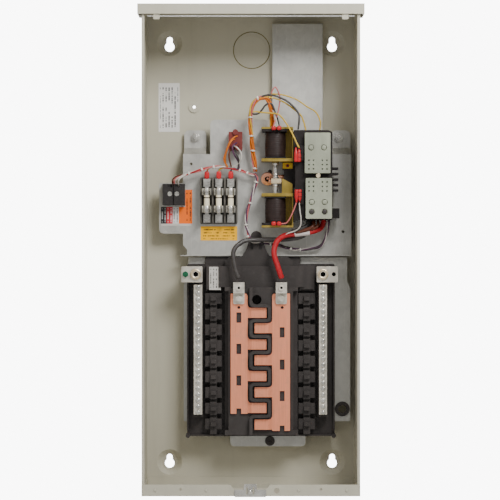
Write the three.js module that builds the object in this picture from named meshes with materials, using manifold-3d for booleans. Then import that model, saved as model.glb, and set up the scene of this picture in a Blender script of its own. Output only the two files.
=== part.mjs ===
// Transfer switch load centre: a tall sheet-steel enclosure without its door, holding a solenoid-operated
// transfer switch on a galvanised panel above a moulded breaker base with two interleaved copper bars.
// Millimetres. X to the right, Z up, the open front faces -Y, and Y = 0 is the wall it hangs on.
import * as THREE from "three";
import { mergeVertices } from "three/addons/utils/BufferGeometryUtils.js";
import Module from "manifold-3d";

const wasm = await Module();
wasm.setup();

// Driving dimensions of the enclosure
const BODY_HALF_WIDTH = 171.5;
const HOOD_HALF_WIDTH = 178;
const HALF_HEIGHT = 386;
const SHEET = 1.5;
const PAD_HEIGHT = 6;
const BACK_Y = -PAD_HEIGHT;
const FLOOR_Y = BACK_Y - SHEET;
const RIM_Y = -160;
const RIM_RETURN = 4.5;
const LIP_HEIGHT = 16;
const BOTTOM_FLANGE = 18.4;
const KEYHOLE_X = 133.5;
const GAP = 0.3;

// Depths of the layers, as distances in front of the wall plane
const PANEL_Y = -38;
const EAR_Y = -17;
const PAN_Y = -32;
const BAR_FRONT_Y = -77;
const BAR_THICK = 3.2;
const BREAKER_PITCH = 25.4;

// The solenoid and its linkage
const COIL_X = 39.6;
const COIL_Y = -68;
const SHAFT_Y = -52;
const SHAFT_Z = 117;
const SHAFT_RADIUS = 5;
const CRANK_LENGTH = 16;
const CRANK_TILT = 22;
const PIN_RADIUS = 2;

const root = new THREE.Group();
root.name = "transfer_switch_load_centre";

const COLOURS = {
  paint: 0xbfbfb0,
  galvanised: 0xa9b4b6,
  black: 0x2c2826,
  copper: 0xd98a70,
  chromate: 0xb9a64a,
  steel: 0xc4c6c8,
  brass: 0xc9a95a,
  cover: 0xafb1a8,
  maroon: 0x5a2230,
  white: 0xe6e4dc,
  red: 0xc63a42,
  orange: 0xe08a2c,
  purple: 0x6a4a6e,
  yellow: 0xf0c832,
  aluminium: 0xb9bcbd,
  green: 0x2f6a4a,
};

// ---- Geometry helpers ----

// A closed three.js geometry as a manifold solid.
function solid(geometry) {
  const plain = geometry.clone();
  plain.deleteAttribute("normal");
  plain.deleteAttribute("uv");
  const merged = mergeVertices(plain, 1e-4);
  return new wasm.Manifold(
    new wasm.Mesh({
      numProp: 3,
      vertProperties: new Float32Array(merged.attributes.position.array),
      triVerts: new Uint32Array(merged.index.array),
    }),
  );
}

function surface(body) {
  const mesh = body.getMesh();
  const geometry = new THREE.BufferGeometry();
  geometry.setAttribute("position", new THREE.BufferAttribute(mesh.vertProperties, 3));
  geometry.setIndex(new THREE.BufferAttribute(mesh.triVerts, 1));
  const flat = geometry.toNonIndexed();
  flat.computeVertexNormals();
  return flat;
}

function union(...geometries) {
  return surface(geometries.map(solid).reduce((sum, next) => sum.add(next)));
}

function cut(geometry, ...tools) {
  return surface(tools.map(solid).reduce((rest, tool) => rest.subtract(tool), solid(geometry)));
}

// A box between two corners.
function block(x0, x1, y0, y1, z0, z1) {
  const geometry = new THREE.BoxGeometry(x1 - x0, Math.abs(y1 - y0), z1 - z0);
  return geometry.translate((x0 + x1) / 2, (y0 + y1) / 2, (z0 + z1) / 2);
}

// A cylinder between two points.
function rod(radius, from, to, sides = 16) {
  const start = new THREE.Vector3(...from);
  const end = new THREE.Vector3(...to);
  const along = end.clone().sub(start);
  const geometry = new THREE.CylinderGeometry(radius, radius, along.length(), sides);
  const up = new THREE.Vector3(0, 1, 0);
  const turn = new THREE.Quaternion().setFromUnitVectors(up, along.clone().normalize());
  geometry.applyQuaternion(turn);
  const middle = start.add(end).multiplyScalar(0.5);
  return geometry.translate(middle.x, middle.y, middle.z);
}

// A cylinder that runs front to back at (x, z).
function post(x, z, radius, y0, y1, sides = 16) {
  return rod(radius, [x, y0, z], [x, y1, z], sides);
}

// A closed outline through [x, z] corners; a third entry rounds that corner by its radius.
function outline(corners, ShapeType = THREE.Shape) {
  const shape = new ShapeType();
  const count = corners.length;
  corners.forEach(([x, z, radius = 0], index) => {
    const here = new THREE.Vector2(x, z);
    const before = new THREE.Vector2(...corners[(index + count - 1) % count].slice(0, 2));
    const after = new THREE.Vector2(...corners[(index + 1) % count].slice(0, 2));
    const into = before.sub(here).setLength(radius).add(here);
    const out = after.sub(here).setLength(radius).add(here);
    if (index === 0) shape.moveTo(into.x, into.y);
    else shape.lineTo(into.x, into.y);
    if (radius > 0) shape.quadraticCurveTo(x, z, out.x, out.y);
  });
  shape.closePath();
  return shape;
}

// A flat piece whose outline is drawn in X and Z, with its back face at yBack.
function plate(shape, yBack, thickness, curveSegments = 5) {
  const geometry = new THREE.ExtrudeGeometry(shape, { depth: thickness, bevelEnabled: false, curveSegments });
  return geometry.rotateX(Math.PI / 2).translate(0, yBack, 0);
}

// A profile drawn in X and Y, run upwards from z0 to z1.
function upright(corners, z0, z1, curveSegments = 4) {
  const geometry = new THREE.ExtrudeGeometry(outline(corners), {
    depth: z1 - z0,
    bevelEnabled: false,
    curveSegments,
  });
  return geometry.translate(0, 0, z0);
}

// A profile drawn in Y and Z, run to the right from x0 to x1.
function crossing(corners, x0, x1, curveSegments = 4) {
  const geometry = new THREE.ExtrudeGeometry(outline(corners), {
    depth: x1 - x0,
    bevelEnabled: false,
    curveSegments,
  });
  const axes = new THREE.Matrix4().makeBasis(
    new THREE.Vector3(0, 1, 0),
    new THREE.Vector3(0, 0, 1),
    new THREE.Vector3(1, 0, 0),
  );
  return geometry.applyMatrix4(axes).translate(x0, 0, 0);
}

function roundHole(x, z, radius) {
  const hole = new THREE.Path();
  hole.absarc(x, z, radius, 0, 2 * Math.PI, false);
  return hole;
}

// A round cord along a smooth route.
function cord(points, radius, steps, sides = 10) {
  const route = new THREE.CatmullRomCurve3(points.map((p) => new THREE.Vector3(...p)), false, "centripetal");
  const ring = new THREE.Shape();
  ring.absarc(0, 0, radius, 0, 2 * Math.PI, false);
  return new THREE.ExtrudeGeometry(ring, { steps, extrudePath: route, curveSegments: sides });
}

function add(name, geometry, colour, look = {}) {
  const material = new THREE.MeshStandardMaterial({ color: colour, roughness: 0.6, metalness: 0, ...look });
  material.name = name + "_finish";
  const mesh = new THREE.Mesh(geometry, material);
  mesh.name = name;
  root.add(mesh);
  return mesh;
}

const METAL = { metalness: 0.85, roughness: 0.4 };

// ---- Enclosure: back and sides from one sheet, with four keyhole pads pressed out towards the wall ----

const KEYHOLES = [
  { x: -KEYHOLE_X, pad: 339, small: 345.7, large: 334 },
  { x: KEYHOLE_X, pad: 339, small: 345.7, large: 334 },
  { x: -KEYHOLE_X, pad: -348, small: -340, large: -350.3 },
  { x: KEYHOLE_X, pad: -348, small: -340, large: -350.3 },
];
const PAD_OUTER = 23;
const PAD_INNER = 14;
const PAD_SIDES = 18;
const KEYHOLE_SMALL = 4.7;
const KEYHOLE_LARGE = 7.8;

function enclosureShell() {
  const lower = -HALF_HEIGHT + SHEET + GAP;
  const upper = HALF_HEIGHT - SHEET - GAP;
  const w = BODY_HALF_WIDTH;
  const inner = w - SHEET;
  const section = [
    [-w, BACK_Y, 2.5],
    [-w, RIM_Y, 1],
    [-w + RIM_RETURN, RIM_Y],
    [-w + RIM_RETURN, RIM_Y + SHEET],
    [-inner, RIM_Y + SHEET],
    [-inner, FLOOR_Y, 1],
    [inner, FLOOR_Y, 1],
    [inner, RIM_Y + SHEET],
    [w - RIM_RETURN, RIM_Y + SHEET],
    [w - RIM_RETURN, RIM_Y],
    [w, RIM_Y, 1],
    [w, BACK_Y, 2.5],
  ];
  let body = solid(upright(section, lower, upper));
  for (const key of KEYHOLES) {
    const opening = post(key.x, key.pad, PAD_OUTER + 1, FLOOR_Y - 1, BACK_Y + 1, PAD_SIDES);
    body = body.subtract(solid(opening));
    body = body.add(solid(padSolid(key)));
    const narrow = block(key.x - KEYHOLE_SMALL, key.x + KEYHOLE_SMALL, -3, 2, key.large, key.small);
    body = body.subtract(solid(post(key.x, key.small, KEYHOLE_SMALL, 2, -3, 16)));
    body = body.subtract(solid(post(key.x, key.large, KEYHOLE_LARGE, 2, -3, 20)));
    body = body.subtract(solid(narrow));
  }
  // Concentric half-cut knockout rings at the top of the back sheet
  for (const [radius, width] of [
    [30.2, 1.2],
    [25.6, 1.2],
  ]) {
    const ring = new THREE.Shape();
    ring.absarc(1.3, 328, radius, 0, 2 * Math.PI, false);
    ring.holes.push(roundHole(1.3, 328, radius - width));
    body = body.subtract(solid(plate(ring, FLOOR_Y + 0.5, 2, 12)));
  }
  // Small drawn boss with a screw hole
  body = body.add(solid(post(-93, 234.7, 9.2, FLOOR_Y + 0.5, FLOOR_Y - 2, 20)));
  body = body.subtract(solid(post(-93, 234.7, 2.4, BACK_Y + 1, FLOOR_Y - 4, 12)));
  return surface(body);
}

// The dished pad as a closed ring of revolution about the front-to-back axis.
function padSolid(key) {
  const profile = [
    [0, 0],
    [PAD_INNER, 0],
    [PAD_OUTER - 1, BACK_Y],
    [PAD_OUTER + 3, BACK_Y],
    [PAD_OUTER + 3, FLOOR_Y],
    [PAD_OUTER - 2, FLOOR_Y],
    [PAD_INNER - 1, -SHEET],
    [0, -SHEET],
  ];
  const cup = new THREE.LatheGeometry(
    profile.map(([r, y]) => new THREE.Vector2(r, y)).reverse(),
    PAD_SIDES,
  );
  return cup.translate(key.x, 0, key.pad);
}

add("enclosure_shell", enclosureShell(), COLOURS.paint);

// ---- Hood over the top, with a drip lip at the front and tapered side skirts ----

function topHood() {
  const w = HOOD_HALF_WIDTH;
  const front = RIM_Y - 5.5;
  const top = HALF_HEIGHT;
  const under = top - SHEET;
  const roof = block(-w, w, front, BACK_Y, under, top);
  const lip = block(-w, w, front, front + SHEET, top - LIP_HEIGHT, top);
  const hem = block(-w + 2, w - 2, front, front + 3.2, top - LIP_HEIGHT, top - LIP_HEIGHT + 2);
  const skirt = [
    [front, top - LIP_HEIGHT],
    [front, top],
    [BACK_Y, top],
    [BACK_Y, top - 5],
    [front + 60, top - LIP_HEIGHT],
  ].reverse();
  const left = crossing(skirt, -w, -w + SHEET);
  const right = crossing(skirt, w - SHEET, w);
  const hooks = [-1, 1].map((side) =>
    plate(
      outline([
        [side * 148 - 5, 361.5, 2],
        [side * 148 + 5, 361.5, 2],
        [side * 148 + 5, 372],
        [side * 148 - 5, 372],
      ]),
      front + 4.6,
      SHEET,
    ),
  );
  return union(roof, lip, hem, left, right, ...hooks);
}

add("top_hood", topHood(), COLOURS.paint);

// ---- Bottom end wall with its front flange, drain hole and latch recess ----

function bottomEndWall() {
  const w = BODY_HALF_WIDTH;
  const inner = w - SHEET - GAP;
  const bottom = -HALF_HEIGHT;
  const front = RIM_Y - GAP;
  const flangeTop = bottom + BOTTOM_FLANGE;
  const floor = block(-w, w, front - SHEET, BACK_Y, bottom, bottom + SHEET);
  const flange = plate(
    outline([
      [-w, bottom, 1.5],
      [w, bottom, 1.5],
      [w, flangeTop, 2],
      [30, flangeTop, 2],
      [26, flangeTop - 6, 2],
      [-28, flangeTop - 6, 2],
      [-32, flangeTop, 2],
      [-w, flangeTop, 2],
    ]),
    front,
    SHEET,
  );
  const tabTop = bottom + 14;
  const tabFront = RIM_Y + SHEET + GAP;
  const sides = [-1, 1].map((side) => {
    const x = side * (inner - SHEET / 2);
    return block(x - SHEET / 2, x + SHEET / 2, tabFront, FLOOR_Y - GAP, bottom + 0.5, tabTop);
  });
  const rear = block(-inner, inner, FLOOR_Y - GAP - SHEET, FLOOR_Y - GAP, bottom + 0.5, tabTop);
  return cut(
    union(floor, flange, rear, ...sides),
    post(40.4, -377, 4.5, front + 3, front - 5, 14),
    post(-110, -375, 2.2, front + 3, front - 5, 8),
    post(110, -375, 2.2, front + 3, front - 5, 8),
  );
}

add("bottom_end_wall", bottomEndWall(), COLOURS.paint);

// The hasp riveted to the bottom flange: a bowed strap with a fork slot for the door's latch
function latchHasp() {
  const back = RIM_Y - 2 * GAP - SHEET;
  const strap = plate(
    outline([
      [-26, -387, 2],
      [24, -387, 2],
      [24, -375.5, 2],
      [9, -375.5],
      [9, -366.5, 3],
      [-11, -366.5, 3],
      [-11, -375.5],
      [-26, -375.5, 2],
    ]),
    back,
    SHEET,
  );
  const slots = [-6.2, 4.2].map((x) => block(x - 1.3, x + 1.3, back + 1, back - 4, -383, -371.5));
  const head = rod(3.4, [-1, back, -378.5], [-1, back - 3.4, -378.5], 16);
  return union(cut(strap, ...slots), head);
}

add("latch_hasp", latchHasp(), COLOURS.steel, METAL);

// ---- Galvanised barrier channel on the back sheet, above the transfer panel ----

function barrierChannel() {
  const section = [
    [34.7, FLOOR_Y - GAP],
    [34.7, -21, 1],
    [117.8, -21, 1],
    [117.8, FLOOR_Y - GAP],
    [116.3, FLOOR_Y - GAP],
    [116.3, -19.5],
    [36.2, -19.5],
    [36.2, FLOOR_Y - GAP],
  ].reverse();
  return upright(section, 150, 370);
}

add("barrier_channel", barrierChannel(), COLOURS.galvanised, METAL);

// ---- Transfer panel: raised centre, two joggled ears, a left wing and a forward bottom lip ----

const STUD_LEFT = -91;
const STUD_RIGHT = 143.6;
const STUD_Z = 184;

function transferPanel() {
  const face = plate(
    outline([
      [-149.4, 26.7, 9],
      [-110.4, 26.7],
      [-110.4, 8],
      [-104, 1],
      [-104, -8],
      [163.4, -8],
      [163.4, 156],
      [129, 156],
      [129, 192, 4],
      [66, 192],
      [66, 212, 5],
      [-66, 212, 9],
      [-66, 156],
      [-110.4, 156],
      [-110.4, 109],
      [-149.4, 109, 4],
    ]),
    PANEL_Y + SHEET,
    SHEET,
  );
  // Bottom lip turned forwards, with a rolled edge
  const lip = block(-114.5, 163.4, PANEL_Y, PANEL_Y - 9, -9.8, -8);
  const lipRoot = block(-104, 163.4, PANEL_Y + SHEET, PANEL_Y, -9.8, -7.5);
  // Side returns that stand the panel off the back sheet
  const left = block(-110.4, -108.9, FLOOR_Y - GAP, PANEL_Y, 30, 100);
  const right = block(161.9, 163.4, FLOOR_Y - GAP, PANEL_Y, 0, 156);
  const foot = block(-104, 161, FLOOR_Y - GAP, PANEL_Y, 22, 23.5);
  // The joggle steps back from the face to each ear
  const step = (x0, x1) =>
    crossing(
      [
        [PANEL_Y, 155],
        [PANEL_Y + SHEET, 155],
        [EAR_Y + SHEET, 167.5],
        [EAR_Y, 167.5],
      ],
      x0,
      x1,
    );
  const ear = (x0, x1) =>
    plate(
      outline([
        [x0, 166],
        [x1, 166],
        [x1, 196, 9],
        [x0, 196, 9],
      ]),
      EAR_Y + SHEET,
      SHEET,
    );
  const sheet = union(
    face,
    lip,
    lipRoot,
    left,
    right,
    foot,
    step(-109, -73),
    ear(-109, -73),
    step(131.5, 163),
    ear(131.5, 163),
  );
  return cut(
    sheet,
    post(STUD_LEFT, STUD_Z, 4, EAR_Y + 5, EAR_Y - 5, 14),
    post(STUD_RIGHT, STUD_Z, 4, EAR_Y + 5, EAR_Y - 5, 14),
    post(-97, 140, 2.2, PANEL_Y + 5, PANEL_Y - 5, 12),
    post(150, 30, 2.2, PANEL_Y + 5, PANEL_Y - 5, 12),
    post(0, 190, 2.2, PANEL_Y + 5, PANEL_Y - 5, 12),
  );
}

add("transfer_panel", transferPanel(), COLOURS.galvanised, METAL);

// A stud welded to the back sheet, its shoulder under the ear and a hexagon nut on top
function panelStud(x, z) {
  const shoulder = post(x, z, 6.5, FLOOR_Y - GAP, EAR_Y + SHEET + GAP, 16);
  const stud = post(x, z, 3, FLOOR_Y - GAP, EAR_Y - 10, 14);
  const washer = post(x, z, 7.6, EAR_Y - GAP, EAR_Y - GAP - 1.2, 18);
  const nut = post(x, z, 6.2, EAR_Y - GAP - 1, EAR_Y - 6.5, 6);
  return union(shoulder, stud, washer, nut);
}

add("panel_stud_left", panelStud(STUD_LEFT, STUD_Z), COLOURS.steel, METAL);
add("panel_stud_right", panelStud(STUD_RIGHT, STUD_Z), COLOURS.steel, METAL);

// ---- Two-way terminal block on the panel's left wing ----

const TERMINAL_XS = [-131.2, -119.7];

function terminalBlock() {
  const back = PANEL_Y - GAP;
  const base = block(-143, -107, back, -58, 72.6, 107);
  const tools = [];
  for (const x of TERMINAL_XS) {
    tools.push(post(x, 91, 4.3, -64, -50, 16));
    tools.push(block(x - 4.2, x + 4.2, -43, -52, 60, 84));
    tools.push(block(x - 4, x + 4, -52, -70, 101.5, 120));
  }
  tools.push(block(-126.2, -124.7, -54, -70, 60, 120));
  return cut(base, ...tools);
}

add("terminal_block", terminalBlock(), COLOURS.black);

for (const [index, x] of TERMINAL_XS.entries()) {
  const shank = post(x, 91, 2.4, -50 - GAP, -54, 12);
  const head = post(x, 91, 3.9, -53.5, -56.8, 14);
  const slot = block(x - 5, x + 5, -55.6, -58, 90.4, 91.6);
  add("terminal_screw_" + (index + 1), cut(union(shank, head), slot), COLOURS.steel, METAL);
}

// ---- Three-pole fuse block, spring clips and pull-out cartridge fuses ----

const FUSE_Y = -61;
const FUSE_PITCH = 19.4;
const FUSE_MIDDLE_X = -51.9;
const FUSE_RADIUS = 5.15;
const FUSE_HALF = 20;
const FUSE_Z = 80;
const CLIP_THICK = 0.8;

function fuseBlock() {
  const back = PANEL_Y - GAP;
  const floor = -46;
  let body = solid(block(-81.7, -22.2, back, floor, 42.5, 117.6));
  for (let k = 0; k < 4; k += 1) {
    const x = FUSE_MIDDLE_X + (k - 1.5) * FUSE_PITCH;
    body = body.add(solid(block(x - 1.2, x + 1.2, floor + 1, -59, 44, 116)));
    body = body.add(solid(block(x - 1.2, x + 1.2, floor + 1, -64, 72, 88)));
  }
  for (let k = 0; k < 3; k += 1) {
    const x = FUSE_MIDDLE_X + (k - 1) * FUSE_PITCH;
    body = body.add(solid(block(x - 6.5, x + 6.5, floor + 1, -50, 43.5, 57)));
    body = body.add(solid(block(x - 6.5, x + 6.5, floor + 1, -50, 103, 116.6)));
    body = body.subtract(solid(block(x - 3.5, x + 3.5, back + 1, back - 3, 62, 98)));
  }
  return surface(body);
}

add("fuse_block", fuseBlock(), COLOURS.black);

// A folded clip: two cheeks that lean round the cap, and a tongue with a slotted binding screw.
// end is 1 for the upper clip and -1 for the lower one.
function fuseClip(x, end) {
  const seat = -46.5 - GAP;
  const clipZ = FUSE_Z + end * 14;
  const span = (near, far) => [clipZ + end * near, clipZ + end * far].sort((a, b) => a - b);
  const [z0, z1] = span(-5.5, 5.5);
  const inner = FUSE_RADIUS + 0.35;
  const wall = (side) => {
    const outer = inner + CLIP_THICK;
    const shape = [
      [x + side * outer, seat],
      [x + side * outer, FUSE_Y - 2],
      [x + side * (outer - 0.25), FUSE_Y - 6.3],
      [x + side * (outer + 1.3), FUSE_Y - 8.6],
      [x + side * (outer + 0.6), FUSE_Y - 9],
      [x + side * (outer - 1.05), FUSE_Y - 6.3],
      [x + side * inner, FUSE_Y - 2],
      [x + side * inner, seat],
    ];
    return upright(side > 0 ? shape : shape.reverse(), z0, z1);
  };
  const floor = block(x - inner - 0.2, x + inner + 0.2, seat, seat - CLIP_THICK, z0, z1);
  const neck = block(x - 3, x + 3, seat, seat - 4.6, ...span(5, 8.7));
  const tongue = block(x - 5.6, x + 5.6, -50 - GAP, -51.4, ...span(8.6, 21.5));
  const screwZ = clipZ + end * 15;
  const screw = post(x, screwZ, 4.3, -51.2, -54.2, 14);
  const slot = block(x - 5, x + 5, -53.2, -56, screwZ - 0.5, screwZ + 0.5);
  return cut(union(wall(1), wall(-1), floor, neck, tongue, screw), slot);
}

// A cartridge fuse: a ceramic barrel between two metal caps.
function fuse(x) {
  const r = FUSE_RADIUS;
  const profile = [
    [0, -FUSE_HALF],
    [r - 0.6, -FUSE_HALF],
    [r, -FUSE_HALF + 0.6],
    [r, -FUSE_HALF + 9.5],
    [r - 0.5, -FUSE_HALF + 9.7],
    [r - 0.5, FUSE_HALF - 9.7],
    [r, FUSE_HALF - 9.5],
    [r, FUSE_HALF - 0.6],
    [r - 0.6, FUSE_HALF],
    [0, FUSE_HALF],
  ];
  const body = new THREE.LatheGeometry(profile.map(([a, b]) => new THREE.Vector2(a, b)), 14);
  return body.rotateX(Math.PI / 2).translate(x, FUSE_Y, FUSE_Z);
}

for (let k = 0; k < 3; k += 1) {
  const x = FUSE_MIDDLE_X + (k - 1) * FUSE_PITCH;
  add("fuse_" + (k + 1), fuse(x), COLOURS.white);
  add("fuse_clip_upper_" + (k + 1), fuseClip(x, 1), COLOURS.steel, METAL);
  add("fuse_clip_lower_" + (k + 1), fuseClip(x, -1), COLOURS.steel, METAL);
}

// ---- Control relay ----

function relay() {
  const back = PANEL_Y - GAP;
  const body = plate(
    outline([
      [-36, 161, 1.5],
      [-13.7, 161, 1.5],
      [-13.7, 190.6, 1.5],
      [-36, 190.6, 1.5],
    ]),
    back,
    30,
    3,
  );
  const knob = post(-25, 190, 4.6, back - 2, back - 33, 16);
  const blades = [-31, -25, -19].map((x) => block(x - 0.4, x + 0.4, -66, -74, 164, 170));
  return union(body, knob, ...blades);
}

add("relay", relay(), COLOURS.maroon);

// ---- Solenoid: two coils in chromated frames, face to face on one axis ----

const BORE = 5.6;

const FLANGE = 4;
const TERMINAL_OFFSETS = [-3, 5.5];

// A wound bobbin; open is the Z of the end the plunger enters by, and the end flange lies beyond closed.
function coil(open, closed) {
  const outward = Math.sign(closed - open);
  const between = (a, b) => [Math.min(a, b), Math.max(a, b)];
  const winding = rod(16, [COIL_X, COIL_Y, open], [COIL_X, COIL_Y, closed + outward], 28);
  const [endLow, endHigh] = between(closed, closed + outward * FLANGE);
  const [collarLow, collarHigh] = between(open, open + outward * 2.4);
  const end = block(COIL_X - 22, COIL_X + 18.4, COIL_Y + 19, COIL_Y - 19, endLow, endHigh);
  const collar = block(COIL_X - 17.5, COIL_X + 17, COIL_Y + 17.5, COIL_Y - 17.5, collarLow, collarHigh);
  const lugs = TERMINAL_OFFSETS.map((offset) => {
    const x = COIL_X + offset;
    return block(x - 2.4, x + 2.4, COIL_Y - 18, COIL_Y - 24, endLow + 1.5, endHigh - 1.5);
  });
  const bore = rod(BORE, [COIL_X, COIL_Y, open - outward * 3], [COIL_X, COIL_Y, closed - outward * 12], 24);
  return cut(union(winding, end, collar, ...lugs), bore);
}

const UPPER_POLE = [142.2, 147];
const LOWER_POLE = [86, 91.2];
const UPPER_END = [194.3, 197.5];
const LOWER_END = [36.2, 39.5];

add("coil_upper", coil(UPPER_POLE[1] + GAP, UPPER_END[0] - GAP - FLANGE), COLOURS.black);
add("coil_lower", coil(LOWER_POLE[0] - GAP, LOWER_END[1] + GAP + FLANGE), COLOURS.black);

const FRAME_X0 = 17;
const FRAME_X1 = 68;
const FRAME_SHEET = 2;

// A folded frame: pole plate with the plunger's hole, closing plate at the far end, back and right-hand leg.
function coilFrame(pole, end) {
  const back = PANEL_Y - GAP;
  const front = COIL_Y - 19;
  const low = Math.min(pole[0], end[0]);
  const high = Math.max(pole[1], end[1]);
  const across = ([z0, z1]) => {
    const corners = [
      [FRAME_X0, z0, 1.2],
      [FRAME_X1, z0, 1.2],
      [FRAME_X1, z1, 1.2],
      [FRAME_X0, z1, 1.2],
    ];
    return plate(outline(corners), back, back - front, 2);
  };
  const rear = block(30, FRAME_X1 - 1, back, back - FRAME_SHEET, low + 1, high - 1);
  const leg = block(FRAME_X1 - FRAME_SHEET, FRAME_X1, back, front + 2, low + 1.5, high - 1.5);
  const whole = union(across(pole), across(end), rear, leg);
  return cut(whole, rod(BORE, [COIL_X, COIL_Y, pole[0] - 5], [COIL_X, COIL_Y, pole[1] + 5], 24));
}

add("coil_frame_upper", coilFrame(UPPER_POLE, UPPER_END), COLOURS.chromate, METAL);

const GUSSET_Y = -72.5;

// The lower frame also carries a gusset that stands up in front of the crank
function lowerFrame() {
  const gusset = plate(
    outline([
      [50, LOWER_POLE[0] + 1],
      [67, LOWER_POLE[0] + 1],
      [67, 106.5, 1],
      [50, 115.5, 1.5],
    ]),
    GUSSET_Y,
    FRAME_SHEET,
  );
  return union(coilFrame(LOWER_POLE, LOWER_END), gusset);
}

add("coil_frame_lower", lowerFrame(), COLOURS.chromate, METAL);

// ---- Plunger: upper rod, slotted yoke and lower core, which travel together ----

const YOKE_LOW = SHAFT_Z - Math.sin((CRANK_TILT * Math.PI) / 180) * CRANK_LENGTH - 4;
const YOKE_HIGH = YOKE_LOW + 8;
const PLUNGER_RADIUS = 4.2;

function plungerRod() {
  const profile = [
    [0, YOKE_HIGH + GAP],
    [5.2, YOKE_HIGH + GAP],
    [5.2, YOKE_HIGH + 3],
    [PLUNGER_RADIUS, YOKE_HIGH + 3.6],
    [PLUNGER_RADIUS, 133],
    [3, 134],
    [3, 160],
    [0, 160],
  ];
  const turned = new THREE.LatheGeometry(profile.map(([r, z]) => new THREE.Vector2(r, z)), 18);
  return turned.rotateX(Math.PI / 2).translate(COIL_X, COIL_Y, 0);
}

add("plunger_rod", plungerRod(), COLOURS.white, { metalness: 0.4, roughness: 0.35 });

function plungerYoke() {
  const body = plate(
    outline([
      [COIL_X - 7, YOKE_LOW, 1.4],
      [COIL_X + 9.5, YOKE_LOW, 1.4],
      [COIL_X + 9.5, YOKE_HIGH, 1.4],
      [COIL_X - 7, YOKE_HIGH, 1.4],
    ]),
    COIL_Y + 5.4,
    11.4,
    3,
  );
  const middle = (YOKE_LOW + YOKE_HIGH) / 2;
  const slot = crossing(
    [
      [COIL_Y - 2.5, middle - 2.35, 1],
      [COIL_Y + 3.7, middle - 2.35, 1],
      [COIL_Y + 3.7, middle + 2.35, 1],
      [COIL_Y - 2.5, middle + 2.35, 1],
    ],
    COIL_X - 12,
    COIL_X + 14,
  );
  return cut(body, slot);
}

add("plunger_yoke", plungerYoke(), COLOURS.brass, METAL);

function plungerCore() {
  const profile = [
    [0, 62],
    [PLUNGER_RADIUS - 0.6, 62],
    [PLUNGER_RADIUS, 63],
    [PLUNGER_RADIUS, YOKE_LOW - 3],
    [5.2, YOKE_LOW - 2.4],
    [5.2, YOKE_LOW - GAP],
    [0, YOKE_LOW - GAP],
  ];
  const turned = new THREE.LatheGeometry(profile.map(([r, z]) => new THREE.Vector2(r, z)), 18);
  return turned.rotateX(Math.PI / 2).translate(COIL_X, COIL_Y, 0);
}

add("plunger_core", plungerCore(), COLOURS.steel, METAL);

// ---- Transfer shaft: crank with its pin, and the round handle socket that faces the front ----

function transferLever() {
  // Drawn pointing straight out of the panel from a shaft on the X axis, then tilted to its lower stop.
  const shaft = rod(SHAFT_RADIUS, [18, 0, 0], [79, 0, 0], 18);
  const socket = rod(10.5, [27, -2, 0], [27, -6.5, 0], 24);
  const mouth = rod(4.7, [27, -2.2, 0], [27, -9, 0], 20);
  const arm = (x0) => {
    const profile = [
      [3, -SHAFT_RADIUS + 0.6],
      [3, SHAFT_RADIUS - 0.6],
      [-CRANK_LENGTH, 3.2, 1],
      [-CRANK_LENGTH - 3.2, 3.2, 2],
      [-CRANK_LENGTH - 3.2, -3.2, 2],
      [-CRANK_LENGTH, -3.2, 1],
    ];
    return crossing(profile, x0, x0 + 2.2);
  };
  const pin = rod(PIN_RADIUS, [28.6, -CRANK_LENGTH, 0], [53.4, -CRANK_LENGTH, 0], 16);
  const lever = cut(union(shaft, socket, arm(29), arm(50.6), pin), mouth);
  return lever.rotateX((CRANK_TILT * Math.PI) / 180).translate(0, SHAFT_Y, SHAFT_Z);
}

add("transfer_lever", transferLever(), COLOURS.copper, METAL);

// ---- Contact housing, its two vented covers and the limit switches ----

const HOUSING_FRONT = -92;
const BOSS_FRONT = -61.5;
const MOUTHS = [95.5, 117];

function switchHousing() {
  const back = PANEL_Y - GAP;
  let body = solid(
    plate(
      outline([
        [68.6, 48, 1],
        [130.5, 48, 1],
        [130.5, 189, 1],
        [124, 192, 1],
        [68.6, 192, 1],
      ]),
      back,
      back - HOUSING_FRONT,
      2,
    ),
  );
  // Bearing boss behind the gusset, and above the crank a shelf for the position label
  body = body.add(solid(block(53.6, 70, back, BOSS_FRONT, 93, 133)));
  body = body.add(solid(block(51, 70, back, BOSS_FRONT, 130, 141.4)));
  body = body.subtract(solid(rod(SHAFT_RADIUS + 0.5, [50, SHAFT_Y, SHAFT_Z], [81, SHAFT_Y, SHAFT_Z], 20)));
  // Terminal mouths at the top and the bottom, where the cables enter
  for (const x of MOUTHS) {
    for (const z of [48, 192]) {
      body = body.subtract(solid(block(x - 6, x + 6, -60, -76, z - 12, z + 12)));
    }
  }
  // Cooling fins on the right flank
  for (let k = 0; k < 5; k += 1) {
    const z = 95.5 + k * 8.8;
    body = body.add(solid(block(130, 140, -60, -88, z - 1.7, z + 1.7)));
  }
  body = body.add(solid(block(130, 142, -56, -86, 51, 67)));
  // Recess behind the limit switches on the left flank
  body = body.subtract(solid(block(64, 71, -70, -100, 100, 134)));
  return surface(body);
}

add("switch_housing", switchHousing(), COLOURS.black);

const VENT_COLUMNS = [92.6, 99.8, 114, 121.4];
const VENT_RADIUS = 1.3;

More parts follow.
